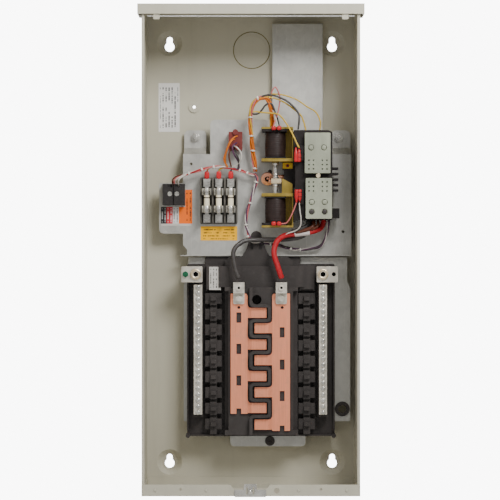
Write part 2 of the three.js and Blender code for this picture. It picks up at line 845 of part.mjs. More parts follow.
// A grey cover with rows of vent holes and of sunk, slotted clamp screws.
function contactCover(x0, x1, z0, z1, ventRows, screwColumns, screwRows) {
  const back = HOUSING_FRONT - GAP;
  const cover = plate(
    outline([
      [x0, z0, 1.6],
      [x1, z0, 1.6],
      [x1, z1, 1.6],
      [x0, z1, 1.6],
    ]),
    back,
    12,
    2,
  );
  const tools = [];
  for (const x of VENT_COLUMNS) {
    for (const z of ventRows) tools.push(post(x, z, VENT_RADIUS, -99, -110, 8));
  }
  for (const x of screwColumns) {
    for (const z of screwRows) tools.push(post(x, z, 4.9, -101.5, -110, 16));
  }
  let body = tools.reduce((rest, tool) => rest.subtract(solid(tool)), solid(cover));
  for (const x of screwColumns) {
    for (const z of screwRows) {
      const slot = block(x - 5, x + 5, -102.8, -106, z - 0.55, z + 0.55);
      const head = cut(post(x, z, 4.1, -101, -103.6, 14), slot);
      body = body.add(solid(head));
    }
  }
  return surface(body);
}

const upperCover = contactCover(86, 127, 122.6, 187.3, [143.1, 136.1, 129.3], [96.1, 116.7], [163.5]);
const lowerCover = contactCover(87.5, 129.3, 50, 114.8, [108.4, 101.4, 94.2], [97.1, 117.7], [76.4, 61.1]);
add("contact_cover_upper", upperCover, COLOURS.cover);
add("contact_cover_lower", lowerCover, COLOURS.cover);

const coverScrew = union(
  post(107.4, 118.7, 2.6, HOUSING_FRONT - GAP, -100, 14),
  post(107.4, 118.7, 3.5, -99, -104, 16),
);
add("cover_screw", coverScrew, COLOURS.brass, METAL);

function limitSwitch(z0, z1) {
  const back = HOUSING_FRONT - GAP;
  const body = block(70.5, 84.5, back, -99, z0, z1);
  const blades = [z0 + 5, (z0 + z1) / 2, z1 - 5].map((z) => block(75, 81, -98, -105, z - 0.5, z + 0.5));
  return union(body, ...blades);
}

add("limit_switch_upper", limitSwitch(143, 167), COLOURS.black);
add("limit_switch_lower", limitSwitch(73, 97), COLOURS.black);

// ---- Power cables from the switch to the lugs of the copper bars ----

const blackRoute = [
  [MOUTHS[0], -68, 57],
  [MOUTHS[0], -68, 45],
  [94, -69, 32],
  [82, -72, 22],
  [60, -66, 17.5],
  [33, -62, 17],
  [8, -64, 16.3],
  [-9, -68, 15],
  [-19, -72, 9.5],
  [-25.5, -75, 3],
  [-28.5, -77, -7],
  [-25, -79, -30],
  [-19.3, -80, -46],
];
add("power_cable_black", cord(blackRoute, 3.7, 34, 4), COLOURS.black);

const redRoute = [
  [MOUTHS[1], -68, 57],
  [MOUTHS[1], -68, 46],
  [113, -71, 36],
  [103, -78, 31],
  [90, -80, 28],
  [68, -76, 25.5],
  [53, -74, 22.5],
  [43, -75, 15],
  [38, -77, 4],
  [37.5, -79, -8],
  [43, -80, -26],
  [49.5, -80, -46],
];
add("power_cable_red", cord(redRoute, 4.4, 34, 4), COLOURS.red);

// ---- Wire looms: each is one laced bundle ----

const orangeRoute = [
  [34, -60, 200.5],
  [33, -72, 226],
  [27, -78, 243],
  [14, -80, 245],
  [4, -78, 232],
  [-2, -72, 212],
  [-1, -66, 196],
  [1, -62, 178],
  [3, -58, 160],
  [5, -56, 142],
  [7, -54, 130],
];
add("harness_orange", cord(orangeRoute, 3.2, 26, 3), COLOURS.orange);

const redLoomRoute = [
  [-124, -55, 109],
  [-122, -60, 115],
  [-110, -60, 121],
  [-91, -60, 126.5],
  [-62, -58, 134],
  [-42, -56, 134],
  [-18, -54, 129],
  [-5, -54, 124],
  [3, -54, 120.5],
];
add("harness_red", cord(redLoomRoute, 2.6, 24, 3), COLOURS.red);

const purpleRoute = [
  [9, -54, 122],
  [8, -54, 112],
  [4, -54, 98],
  [0, -54, 80],
  [-6, -54, 62],
  [-8, -54, 44],
  [-5, -56, 30],
  [-3, -60, 20],
];
add("harness_purple", cord(purpleRoute, 2.4, 20, 3), COLOURS.purple);

// ---- Breaker interior: galvanised pan, moulded base, copper bars and neutral bars ----

function interiorPan() {
  const back = PAN_Y + SHEET;
  const sheet = plate(
    outline([
      [-109.4, -279, 2],
      [-33.6, -279],
      [-33.6, -320, 8],
      [89, -320, 8],
      [89, -279],
      [162, -279, 3],
      [162, -63, 3],
      [157, -50],
      [157, -12, 2],
      [81, -12, 2],
      [81, -24],
      [-75, -24],
      [-75, -12, 2],
      [-102, -12, 2],
      [-102, -40],
      [-109.4, -57],
    ]),
    back,
    SHEET,
  );
  const left = block(-109.4, -107.9, FLOOR_Y - GAP, PAN_Y, -275, -61);
  const right = block(160.5, 162, FLOOR_Y - GAP, PAN_Y, -275, -67);
  const foot = block(-30, 85, FLOOR_Y - GAP, PAN_Y, -318, -316.5);
  const pan = union(sheet, left, right, foot);
  return cut(
    pan,
    post(149, -259, 9, PAN_Y + 5, PAN_Y - 5, 20),
    post(31, -311, 3.4, PAN_Y + 5, PAN_Y - 5, 14),
    post(9.5, -80, 3.4, PAN_Y + 5, PAN_Y - 5, 14),
  );
}

add("interior_pan", interiorPan(), COLOURS.galvanised, METAL);

const LEFT_FINGERS = [-101, -151.9, -202.6, -253.8];
const RIGHT_FINGERS = [-125.6, -177, -228.6, -280.6];
const FINGER = 8.2;
const RIB_HALF = 2.6;
const RIB_BEND = 5.5;
const RIB_LEFT = 0.2;
const RIB_RIGHT = 29.9;
const RIB_FRONT = BAR_FRONT_Y - 8.5;
const BASE_FLOOR = -41;
const PLATEAU = BAR_FRONT_Y + BAR_THICK + GAP;

// A strip of even width along a centre line whose corners are bent to a radius.
function ribbon(centres, half, bend) {
  const line = [];
  centres.forEach(([x, z], index) => {
    const here = new THREE.Vector2(x, z);
    if (index === 0 || index === centres.length - 1) {
      line.push(here);
      return;
    }
    const before = new THREE.Vector2(...centres[index - 1]).sub(here);
    const after = new THREE.Vector2(...centres[index + 1]).sub(here);
    const room = Math.min(bend, before.length() / 2, after.length() / 2);
    before.setLength(room).add(here);
    after.setLength(room).add(here);
    const corner = new THREE.QuadraticBezierCurve(before, here, after);
    line.push(...corner.getPoints(4));
  });
  const sides = [1, -1].map((side) =>
    line.map((point, index) => {
      const ahead = line[Math.min(index + 1, line.length - 1)];
      const behind = line[Math.max(index - 1, 0)];
      const along = ahead.clone().sub(behind).normalize();
      return new THREE.Vector2(point.x - side * along.y * half, point.y + side * along.x * half);
    }),
  );
  return new THREE.Shape([...sides[0], ...sides[1].reverse()]);
}

// One moulding: floor, raised centre for the bars, breaker hook rails, neutral bar walls and the winding rib.
function interiorBase() {
  const back = PAN_Y - GAP;
  let body = solid(
    plate(
      outline([
        [-103.5, -302, 2],
        [136, -302, 2],
        [136, -22.6, 3],
        [80, -22.6],
        [80, -10.9, 2],
        [-74, -10.9, 2],
        [-74, -22.6],
        [-103.5, -22.6, 3],
      ]),
      back,
      back - BASE_FLOOR,
      3,
    ),
  );
  const join = (part) => {
    body = body.add(solid(part));
  };
  const remove = (part) => {
    body = body.subtract(solid(part));
  };
  // Raised centre under the bars
  join(block(-42, 76, BASE_FLOOR + 1, PLATEAU, -298, -60));
  join(block(-52, 86, BASE_FLOOR + 1, -60, -60, -26));
  // Hollow troughs on both sides of the centre, and a gap between the bars' seats
  remove(block(-44, -36, -52, -90, -290, -66));
  remove(block(68, 78, -52, -90, -290, -66));
  // Breaker hook rails: one saddle per pole space, with a hook notch between
  for (const [x0, x1] of [
    [-74, -47],
    [77, 104],
  ]) {
    join(block(x0 + 8, x1 - 8, BASE_FLOOR + 1, -57, -298, -72));
    join(block(x0 + 2, x1 - 1, BASE_FLOOR + 1, -57, -66, -25));
    for (let k = 0; k < 9; k += 1) {
      const z = -78.4 - k * BREAKER_PITCH;
      join(block(x0, x1, BASE_FLOOR + 1, -55, z - 8.6, z + 8.6));
      join(block(x0 + 9, x1 - 9, -54, -63, z - 3.2, z + 3.2));
      remove(block(x0 + 3, x1 - 3, -51, -70, z + 10.6, z + 14.8));
    }
  }
  // Walls that carry the neutral bars
  for (const x of [-85.5, 116.4]) {
    join(block(x - 8, x + 8, BASE_FLOOR + 1, -58, -270, -54));
    for (let k = 0; k < 6; k += 1) {
      const z = -72 - k * 36;
      remove(block(x - 12, x + 12, -46, -54, z - 12, z + 12));
    }
  }
  // Edge walls
  join(block(-103.5, -101, BASE_FLOOR + 1, -50, -292, -26));
  join(block(133.5, 136, BASE_FLOOR + 1, -50, -292, -26));
  join(block(-103, 135.5, BASE_FLOOR + 1, -47, -301.8, -299.3));
  for (const x of [-102, 134.5]) join(post(x, -301, 3.6, PAN_Y - GAP, -52, 12));
  // The rib that winds between the bars' fingers, rounded where it turns down
  const centres = [[RIB_LEFT, -60], [RIB_LEFT, -89.5], [RIB_RIGHT, -89.5]];
  for (let k = 0; k < LEFT_FINGERS.length; k += 1) {
    const below = (LEFT_FINGERS[k] + RIGHT_FINGERS[k]) / 2;
    centres.push([RIB_RIGHT, below], [RIB_LEFT, below]);
    if (k + 1 < LEFT_FINGERS.length) {
      const next = (RIGHT_FINGERS[k] + LEFT_FINGERS[k + 1]) / 2;
      centres.push([RIB_LEFT, next], [RIB_RIGHT, next]);
    }
  }
  centres.push([RIB_LEFT, -297]);
  join(plate(ribbon(centres, RIB_HALF, RIB_BEND), PLATEAU + 1, PLATEAU + 1 - RIB_FRONT));
  // Recess and hole for the mounting screw
  remove(post(9.5, -80, 7.6, -50, -90, 20));
  remove(post(9.5, -80, 3.4, -20, -60, 14));
  // Lug walls at the head of each bar
  for (const x of [-19.3, 48.9]) {
    remove(block(x - 13, x + 13, -66, -90, -62, -40));
  }
  // Tab that laps over the transfer panel's lip, with a domed top
  const dome = plate(
    outline([
      [-42, -20],
      [68, -20],
      [60, -10.7, 3],
      [31, -10.7, 3],
      [24, 0, 4],
      [17.3, 22],
      [-0.3, 22],
      [-8, 0, 4],
      [-14.6, -10.7, 3],
      [-36, -10.7, 3],
    ]),
    -48,
    5,
    4,
  );
  join(post(8.5, 22, 8.8, -48, -53, 28));
  join(dome);
  join(block(-42, 68, BASE_FLOOR + 1, -53, -27, -17));
  remove(block(-0.6, 3.6, -50, -60, 1, 11));
  remove(block(13.4, 17.6, -50, -60, 1, 11));
  return surface(body);
}

add("interior_base", interiorBase(), COLOURS.black);

const FINGER_RISE = 3;
const ROOT_FILLET = 7;
const SLOT_WIDTH = 7.6;
const SLOT_LENGTH = 16.4;

// A copper bar: a flat body with slots and an end notch, and fingers that step forwards at their roots.
// side is 1 when the fingers reach to the right of the body, and -1 to the left.
function busBar(bodyX0, bodyX1, fingerTip, fingers, z0, z1, slotX, slotZs) {
  const side = Math.sign(fingerTip - (bodyX0 + bodyX1) / 2);
  const edge = side > 0 ? bodyX1 : bodyX0;
  const back = BAR_FRONT_Y + BAR_THICK;
  const shape = outline([
    [bodyX0, z0, 1.2],
    [bodyX1, z0, 1.2],
    [bodyX1, z1, side > 0 ? 5 : 1.2],
    [bodyX0, z1, side > 0 ? 1.2 : 5],
  ]);
  const half = SLOT_WIDTH / 2;
  const notchTop = z0 + 8.5;
  const slots = [...slotZs.map((z) => [z - SLOT_LENGTH / 2, z + SLOT_LENGTH / 2]), [z0 - 2, notchTop]];
  const parts = [];
  for (const z of fingers) {
    const section = [
      [edge - side * 3, back],
      [edge + side, back],
      [edge + side * 7, back - FINGER_RISE],
      [fingerTip, back - FINGER_RISE, 0.8],
      [fingerTip, BAR_FRONT_Y - FINGER_RISE, 0.8],
      [edge + side * 6, BAR_FRONT_Y - FINGER_RISE],
      [edge, BAR_FRONT_Y],
      [edge - side * 3, BAR_FRONT_Y],
    ];
    parts.push(upright(side > 0 ? section.reverse() : section, z - FINGER, z + FINGER, 2));
    const top = z + FINGER - 0.2;
    const fillet = new THREE.Shape();
    fillet.moveTo(edge - side, top - 1);
    fillet.lineTo(edge + side * ROOT_FILLET * 0.8, top - 1);
    fillet.lineTo(edge + side * ROOT_FILLET * 0.8, top);
    fillet.quadraticCurveTo(edge, top, edge, top + ROOT_FILLET);
    fillet.lineTo(edge - side, top + ROOT_FILLET);
    fillet.closePath();
    parts.push(plate(fillet, back, BAR_THICK, 5));
  }
  const bar = union(plate(shape, back, BAR_THICK, 3), ...parts);
  return cut(
    bar,
    ...slots.map(([low, high]) => block(slotX - half, slotX + half, back + 2, BAR_FRONT_Y - 6, low, high)),
    post(slotX, -92.5, 2.4, back + 2, BAR_FRONT_Y - 3, 12),
  );
}

const leftBar = busBar(-32.6, -5.1, 25.6, LEFT_FINGERS, -263.4, -70, -19.4, [-108.7, -159.1, -209.9]);
const rightBar = busBar(34.2, 62.9, 5.5, RIGHT_FINGERS, -291, -70, 50.3, [-132.6, -184.4, -235]);
add("bus_bar_left", leftBar, COLOURS.copper, METAL);
add("bus_bar_right", rightBar, COLOURS.copper, METAL);

// A cable lug: a block with a cable bore and clamp screw, on a bolted tongue
function busLug(x) {
  const back = BAR_FRONT_Y - GAP;
  const tongue = plate(
    outline([
      [x - 9, -87, 3],
      [x + 9, -87, 3],
      [x + 9, -60],
      [x - 9, -60],
    ]),
    back,
    3,
  );
  const bodyBlock = block(x - 9, x + 9, back + 3.4, back - 13, -69.3, -51.9);
  const bolt = post(x, -78.6, 6.6, back - 2.5, back - 6.5, 6);
  const tip = post(x, -78.6, 4, back - 6.3, back - 8.5, 14);
  const bore = rod(4.6, [x, -80.5, -75], [x, -80.5, -45], 18);
  const screw = post(x, -60.6, 4.4, back - 10, back - 16, 16);
  const socket = post(x, -60.6, 2.3, back - 13.6, back - 17, 6);
  return cut(union(cut(bodyBlock, bore), tongue, bolt, tip, screw), socket);
}

add("bus_lug_left", busLug(-19.3), COLOURS.aluminium, METAL);
add("bus_lug_right", busLug(48.9), COLOURS.aluminium, METAL);

const NEUTRAL_SCREWS = 22;
const NEUTRAL_PITCH = 9.6;

// A neutral bar: 22 wire holes side by side, each with its own binding screw.
function neutralBar(x0, x1) {
  const back = -58 - GAP;
  const front = -71;
  const top = -56;
  const bottom = top - (NEUTRAL_SCREWS + 0.2) * NEUTRAL_PITCH + 4;
  let body = solid(block(x0, x1, back, front, bottom, top));
  const x = (x0 + x1) / 2;
  for (let k = 0; k < NEUTRAL_SCREWS; k += 1) {
    const z = top - (k + 0.5) * NEUTRAL_PITCH + 0.6;
    body = body.add(solid(post(x, z, 3.5, front + 1, front - 1.4, 8)));
    const hole = rod(2.3, [x0 - 2, -64.5, z], [x0 + 5, -64.5, z], 4);
    body = body.subtract(solid(hole));
  }
  return surface(body);
}

add("neutral_bar_left", neutralBar(-92, -78.5), COLOURS.aluminium, METAL);
add("neutral_bar_right", neutralBar(110, 122.6), COLOURS.aluminium, METAL);

const LUG_Z = -39;
const LEFT_LUG_X = -88.6;
const GROUND_X = -105.2;

// A large end lug for the incoming neutral, with its clamp screw
function neutralLug(x0, x1, bigX, smallX) {
  const back = -41 - GAP;
  const front = -76;
  const body = plate(
    outline([
      [x0, -52, 1.5],
      [x1, -52, 1.5],
      [x1, -26.5, 1.5],
      [x0, -26.5, 1.5],
    ]),
    -58,
    -58 - front,
    2,
  );
  const reach = bigX + Math.sign(smallX - bigX) * 11;
  const foot = block(Math.min(bigX, reach), Math.max(bigX, reach), back, -60, -48, -31);
  const screw = post(bigX, LUG_Z, 8.6, front + 1, front - 4, 20);
  const socket = post(bigX, LUG_Z, 4.4, front - 1, front - 6, 6);
  const bore = rod(6.6, [bigX, -68, -60], [bigX, -68, -20], 20);
  const side = post(smallX, LUG_Z, 3.4, front + 4, front - 4, 14);
  return cut(union(cut(body, bore, side), foot, screw), socket);
}

add("neutral_lug_left", neutralLug(-112, -78, LEFT_LUG_X, GROUND_X), COLOURS.aluminium, METAL);
add("neutral_lug_right", neutralLug(106, 140, 116, 133.5), COLOURS.aluminium, METAL);

const groundScrew = union(
  post(GROUND_X, LUG_Z, 3, -72.8, -77, 12),
  post(GROUND_X, LUG_Z, 5, -76 - GAP, -79.5, 6),
);
add("ground_screw", groundScrew, COLOURS.green, METAL);

// Black bushing snapped into the pan's side wing
function bushing(x, z) {
  const sleeve = post(x, z, 8.7, PAN_Y + SHEET + 2, PAN_Y - 2, 24);
  const flange = post(x, z, 12, PAN_Y - GAP, PAN_Y - 3, 24);
  return cut(union(sleeve, flange), post(x, z, 6.6, PAN_Y + 6, PAN_Y - 6, 20));
}

add("pan_bushing", bushing(149, -259), COLOURS.black);

// Hold-down screws of the moulded base
function holdDown(x, z, seat, radius) {
  const shank = post(x, z, 3, PAN_Y + 4, seat - 1, 10);
  const head = post(x, z, radius, seat - GAP, seat - 3.6, 20);
  const cross = block(x - 0.7, x + 0.7, seat - 2.6, seat - 6, z - 3.5, z + 3.5);
  const bar = block(x - 3.5, x + 3.5, seat - 2.6, seat - 6, z - 0.7, z + 0.7);
  return cut(union(shank, head), cross, bar);
}

add("base_screw_upper", holdDown(9.5, -80, -50, 6.2), COLOURS.black);
add("base_screw_lower", holdDown(31, -311, PAN_Y, 7.9), COLOURS.black);

export default root;
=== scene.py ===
"""Looks for a wall-hung transfer switch load centre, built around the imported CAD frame.

X runs to the right, Z up, and the open front faces -Y. Routes, profiles and places are in millimetres, and
every mesh is made in metres; the stage alone is given in metres.
"""

import logging
import math
from dataclasses import dataclass, field
from enum import Enum
from typing import Sequence

import bpy
import numpy as np
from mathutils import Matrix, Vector

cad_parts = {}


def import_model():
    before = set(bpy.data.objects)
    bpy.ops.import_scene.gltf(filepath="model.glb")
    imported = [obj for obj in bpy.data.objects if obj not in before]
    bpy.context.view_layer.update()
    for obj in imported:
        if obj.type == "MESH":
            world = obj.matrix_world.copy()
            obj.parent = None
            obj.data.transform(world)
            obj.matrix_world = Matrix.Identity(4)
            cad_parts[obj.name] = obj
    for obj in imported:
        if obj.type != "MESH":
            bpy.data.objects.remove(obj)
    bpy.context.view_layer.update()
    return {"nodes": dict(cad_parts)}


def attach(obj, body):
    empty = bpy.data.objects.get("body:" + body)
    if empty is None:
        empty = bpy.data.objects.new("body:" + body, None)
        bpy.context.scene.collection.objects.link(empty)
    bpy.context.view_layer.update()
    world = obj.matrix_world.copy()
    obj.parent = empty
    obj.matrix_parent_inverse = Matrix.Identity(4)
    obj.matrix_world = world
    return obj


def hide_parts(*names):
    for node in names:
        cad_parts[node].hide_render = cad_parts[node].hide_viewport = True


MM = 0.001
END_SHARE = 0.86
LAY_SHARE = 0.36
LAY_WANDER = 0.16
LOG = logging.getLogger("scene")
Colour = tuple[float, float, float]
Point = tuple[float, float, float]


class Body(Enum):
    """The rigid bodies of the CAD frame."""

    ENCLOSURE = "enclosure"
    SHAFT = "transfer_shaft"
    PLUNGER = "plunger"
    FUSE_1 = "fuse_cartridge_1"
    FUSE_2 = "fuse_cartridge_2"
    FUSE_3 = "fuse_cartridge_3"


# ---------------------------------------------------------------- shader maths


@dataclass(frozen=True)
class Value:
    """A number inside a material's node tree that takes ordinary arithmetic."""

    graph: "Graph"
    socket: bpy.types.NodeSocket

    def _math(self, operation: str, *others: "Value | float", flip: bool = False) -> "Value":
        """Adds one Math node.

        Args:
            operation: Blender's name for the sum.
            others: the other operands.
            flip: puts this value second.

        Returns:
            The node's result.
        """
        operands = [self, *others]
        if flip:
            operands.reverse()
        node = self.graph.node("ShaderNodeMath", {"operation": operation}, dict(enumerate(operands)))
        return Value(self.graph, node.outputs[0])

    def __add__(self, other: "Value | float") -> "Value":
        """Returns this plus other."""
        return self._math("ADD", other)

    def __radd__(self, other: float) -> "Value":
        """Returns other plus this."""
        return self._math("ADD", other, flip=True)

    def __sub__(self, other: "Value | float") -> "Value":
        """Returns this minus other."""
        return self._math("SUBTRACT", other)

    def __rsub__(self, other: float) -> "Value":
        """Returns other minus this."""
        return self._math("SUBTRACT", other, flip=True)

    def __mul__(self, other: "Value | float") -> "Value":
        """Returns this times other."""
        return self._math("MULTIPLY", other)

    def __rmul__(self, other: float) -> "Value":
        """Returns other times this."""
        return self._math("MULTIPLY", other, flip=True)

    def __truediv__(self, other: "Value | float") -> "Value":
        """Returns this divided by other."""
        return self._math("DIVIDE", other)

    def __rtruediv__(self, other: float) -> "Value":
        """Returns other divided by this."""
        return self._math("DIVIDE", other, flip=True)

    def __neg__(self) -> "Value":
        """Returns the negative of this."""
        return self._math("MULTIPLY", -1.0)

    def __pow__(self, other: "Value | float") -> "Value":
        """Returns this raised to other."""
        return self._math("POWER", other)

    def absolute(self) -> "Value":
        """Returns the size of this without its sign."""
        return self._math("ABSOLUTE")

    def fraction(self) -> "Value":
        """Returns the part of this after the decimal point."""
        return self._math("FRACT")

    def ramp(self, low: float, high: float, start: float = 0.0, end: float = 1.0) -> "Value":
        """Eases from one value to another.

        Args:
            low: the input at which the ramp starts.
            high: the input at which it ends.
            start: the output at low.
            end: the output at high.

        Returns:
            The eased value.
        """
        settings = {"interpolation_type": "SMOOTHSTEP"}
        values = {0: self, 1: low, 2: high, 3: start, 4: end}
        node = self.graph.node("ShaderNodeMapRange", settings, values)
        return Value(self.graph, node.outputs[0])


Shade = Value | Colour


@dataclass
class Graph:
    """One material's node tree, with the few calls that the finishes need."""

    name: str
    material: bpy.types.Material = field(init=False)

    def __post_init__(self) -> None:
        """Starts an empty node tree."""
        self.material = bpy.data.materials.new(self.name)
        self.material.use_nodes = True
        self.material.node_tree.nodes.clear()

    def node(self, kind: str, settings: dict | None = None, values: dict | None = None) -> bpy.types.Node:
        """Adds any node.

        Args:
            kind: the node's type name.
            settings: attributes to set on the node.
            values: input sockets, by index or name, with a Value to link or a constant to set.

        Returns:
            The new node.
        """
        tree = self.material.node_tree
        made = tree.nodes.new(kind)
        for key, setting in (settings or {}).items():
            setattr(made, key, setting)
        for key, value in (values or {}).items():
            target = made.inputs[key]
            if isinstance(value, Value):
                tree.links.new(value.socket, target)
            elif isinstance(value, tuple) and target.type == "RGBA":
                target.default_value = (*value, 1.0)
            else:
                target.default_value = value
        return made

    def place(self, stretch: Point = (1.0, 1.0, 1.0)) -> Value:
        """Object coordinates, stretched.

        Args:
            stretch: the factor on each axis.

        Returns:
            The coordinate vector.
        """
        coordinates = self.node("ShaderNodeTexCoord").outputs["Object"]
        mapped = self.node("ShaderNodeMapping", None, {0: Value(self, coordinates), 3: stretch})
        return Value(self, mapped.outputs[0])

    def surface_uv(self) -> tuple[Value, Value]:
        """The piece's own UV, split into its two parts."""
        coordinates = self.node("ShaderNodeTexCoord").outputs["UV"]
        parts = self.node("ShaderNodeSeparateXYZ", None, {0: Value(self, coordinates)})
        return Value(self, parts.outputs[0]), Value(self, parts.outputs[1])

    def axes(self) -> tuple[Value, Value, Value]:
        """Object coordinates split into X, Y and Z."""
        parts = self.node("ShaderNodeSeparateXYZ", None, {0: self.place()})
        return tuple(Value(self, out) for out in parts.outputs[:3])

    def noise(self, scale: float, detail: float = 3.0, rough: float = 0.55,
              stretch: Point = (1.0, 1.0, 1.0)) -> Value:
        """Fractal noise, centred on 0.5.

        Args:
            scale: cells per metre.
            detail: octaves.
            rough: the weight of the finer octaves.
            stretch: the factor on each axis before the scale.

        Returns:
            The noise value.
        """
        values = {"Vector": self.place(stretch), "Scale": scale, "Detail": detail, "Roughness": rough}
        return Value(self, self.node("ShaderNodeTexNoise", None, values).outputs[0])

    def cells(self, scale: float, stretch: Point = (1.0, 1.0, 1.0)) -> tuple[Value, Value]:
        """Voronoi cells.

        Args:
            scale: cells per metre.
            stretch: the factor on each axis before the scale.

        Returns:
            The distance to the cell's point, and a random grey for the cell.
        """
        made = self.node("ShaderNodeTexVoronoi", None, {"Vector": self.place(stretch), "Scale": scale})
        parts = self.node("ShaderNodeSeparateXYZ", None, {0: Value(self, made.outputs["Color"])})
        return Value(self, made.outputs["Distance"]), Value(self, parts.outputs[0])

    def mix(self, factor: Value | float, first: Shade, second: Shade) -> Value:
        """Blends two colours.

        Args:
            factor: 0 for the first, 1 for the second.
            first: a colour or a node's colour.
            second: a colour or a node's colour.

        Returns:
            The blended colour.
        """
        made = self.node("ShaderNodeMix", {"data_type": "RGBA"}, {0: factor, 6: first, 7: second})
        return Value(self, made.outputs[2])

    def bump(self, height: Value, strength: float, distance: float) -> Value:
        """A bumped normal.

        Args:
            height: the height field.
            strength: 0..1.
            distance: how far height 1 stands out, in metres.

        Returns:
            The normal.
        """
        values = {"Strength": strength, "Distance": distance, "Height": height}
        made = self.node("ShaderNodeBump", None, values)
        return Value(self, made.outputs[0])

    def close(self, **inputs: Shade | float) -> bpy.types.Material:
        """Ends the tree in a Principled shader.

        Args:
            inputs: the shader's sockets, with underscores for spaces.

        Returns:
            The finished material.
        """
        values = {key.replace("_", " "): value for key, value in inputs.items()}
        shader = self.node("ShaderNodeBsdfPrincipled", None, values)
        self.node("ShaderNodeOutputMaterial", None, {0: Value(self, shader.outputs[0])})
        return self.material


# ---------------------------------------------------------------- finishes


@dataclass(frozen=True)
class Finish:
    """A material recipe. Each kind of finish fills in build()."""

    name: str
    colour: Colour
    rough: float = 0.5
    specular: float = 0.5

    def build(self, graph: Graph) -> bpy.types.Material:
        """Makes the node tree.

        Args:
            graph: an empty tree.

        Returns:
            The material.
        """
        raise NotImplementedError

    def material(self) -> bpy.types.Material:
        """Returns the material, made once for each finish name."""
        title = f"look_{self.name}"  # the frame's own materials use some of the plain names
        found = bpy.data.materials.get(title)
        return found or self.build(Graph(title))

    def darker(self, share: float) -> Colour:
        """Returns the colour scaled by a share."""
        return tuple(part * share for part in self.colour)

    def shaded(self, graph: Graph, base: Value, rough: Value, height: Value, bump: tuple[float, float],
               **more: float) -> bpy.types.Material:
        """Ends a finish: colour, roughness, a bump from a height field, and the finish's own shine.

        Args:
            graph: the tree.
            base: the colour.
            rough: the roughness.
            height: the bump's height field.
            bump: the bump's strength and its distance in metres.
            more: constant sockets of the shader.

        Returns:
            The material.
        """
        normal = graph.bump(height, *bump)
        more["Specular_IOR_Level"] = self.specular
        return graph.close(Base_Color=base, Roughness=rough, Normal=normal, **more)


@dataclass(frozen=True)
class PowderCoat(Finish):
    """Baked enclosure paint: fine orange peel, faint handling marks and settled dust."""

    def build(self, graph: Graph) -> bpy.types.Material:
        """See Finish.build."""
        peel = graph.noise(650, 2, 0.5)
        cloud = graph.noise(9, 4, 0.6).ramp(0.35, 0.68)
        streak = graph.noise(60, 4, 0.62, (1.0, 1.0, 0.07)).ramp(0.52, 0.75)
        scuff = graph.noise(240, 3, 0.7, (1.0, 1.0, 0.35)).ramp(0.66, 0.74)
        base = graph.mix(cloud * 0.5, self.colour, self.darker(0.91))
        base = graph.mix(streak * 0.18, base, self.darker(0.72))
        base = graph.mix(scuff * 0.16, base, (0.66, 0.62, 0.46))
        rough = self.rough + cloud * 0.1 - scuff * 0.12
        return self.shaded(graph, base, rough, peel, (0.25, 0.0004))


@dataclass(frozen=True)
class Galvanised(Finish):
    """Hot-dip zinc: overlapping spangle facets, white bloom and rolling scratches."""

    def build(self, graph: Graph) -> bpy.types.Material:
        """See Finish.build."""
        edge, grey = graph.cells(95)
        _, fine = graph.cells(230, (1.0, 1.0, 0.7))
        scratch = graph.noise(900, 2, 0.5, (1.0, 1.0, 0.03)).ramp(0.6, 0.72)
        bloom = graph.noise(14, 5, 0.62).ramp(0.45, 0.7)
        facet = grey * 0.6 + fine * 0.4
        base = graph.mix(facet, self.darker(0.90), self.darker(1.05))
        base = graph.mix(bloom * 0.18, base, (0.60, 0.59, 0.54))
        base = graph.mix(scratch * 0.25, base, (0.76, 0.75, 0.70))
        rough = self.rough + facet * 0.09 - scratch * 0.08 + bloom * 0.06
        height = facet * 0.4 + edge * 0.3 - scratch * 0.4
        return self.shaded(graph, base, rough, height, (0.12, 0.0003), Metallic=0.62)


@dataclass(frozen=True)
class PlatedSteel(Finish):
    """Zinc or chromate plated steel: soft rainbow drift, turning marks and dark pits."""

    tint: Colour = (0.75, 0.76, 0.78)
    metallic: float = 0.9

    def build(self, graph: Graph) -> bpy.types.Material:
        """See Finish.build."""
        drift = graph.noise(55, 4, 0.6).ramp(0.35, 0.68)
        fine = graph.noise(1500, 2, 0.5, (1.0, 1.0, 0.25))
        pit = graph.noise(380, 4, 0.7).ramp(0.62, 0.72)
        base = graph.mix(drift, self.colour, self.tint)
        base = graph.mix(pit * 0.4, base, self.darker(0.45))
        rough = self.rough + drift * 0.12 + pit * 0.2
        return self.shaded(graph, base, rough, fine, (0.1, 0.0002), Metallic=self.metallic)


@dataclass(frozen=True)
class RolledCopper(Finish):
    """Bare copper strip: rolling lines along Z, brown oxide bloom and finger marks."""

    def build(self, graph: Graph) -> bpy.types.Material:
        """See Finish.build."""
        rolled = graph.noise(700, 3, 0.6, (1.0, 1.0, 0.03))
        oxide = graph.noise(38, 5, 0.65).ramp(0.48, 0.72)
        spot = graph.noise(260, 4, 0.7).ramp(0.64, 0.74)
        base = graph.mix(rolled.ramp(0.35, 0.65), self.darker(0.88), self.colour)
        base = graph.mix(oxide * 0.4, base, (0.60, 0.27, 0.18))
        base = graph.mix(spot * 0.35, base, (0.30, 0.14, 0.10))
        rough = self.rough + oxide * 0.14 + rolled * 0.1
        return self.shaded(graph, base, rough, rolled, (0.18, 0.0003), Metallic=0.5)


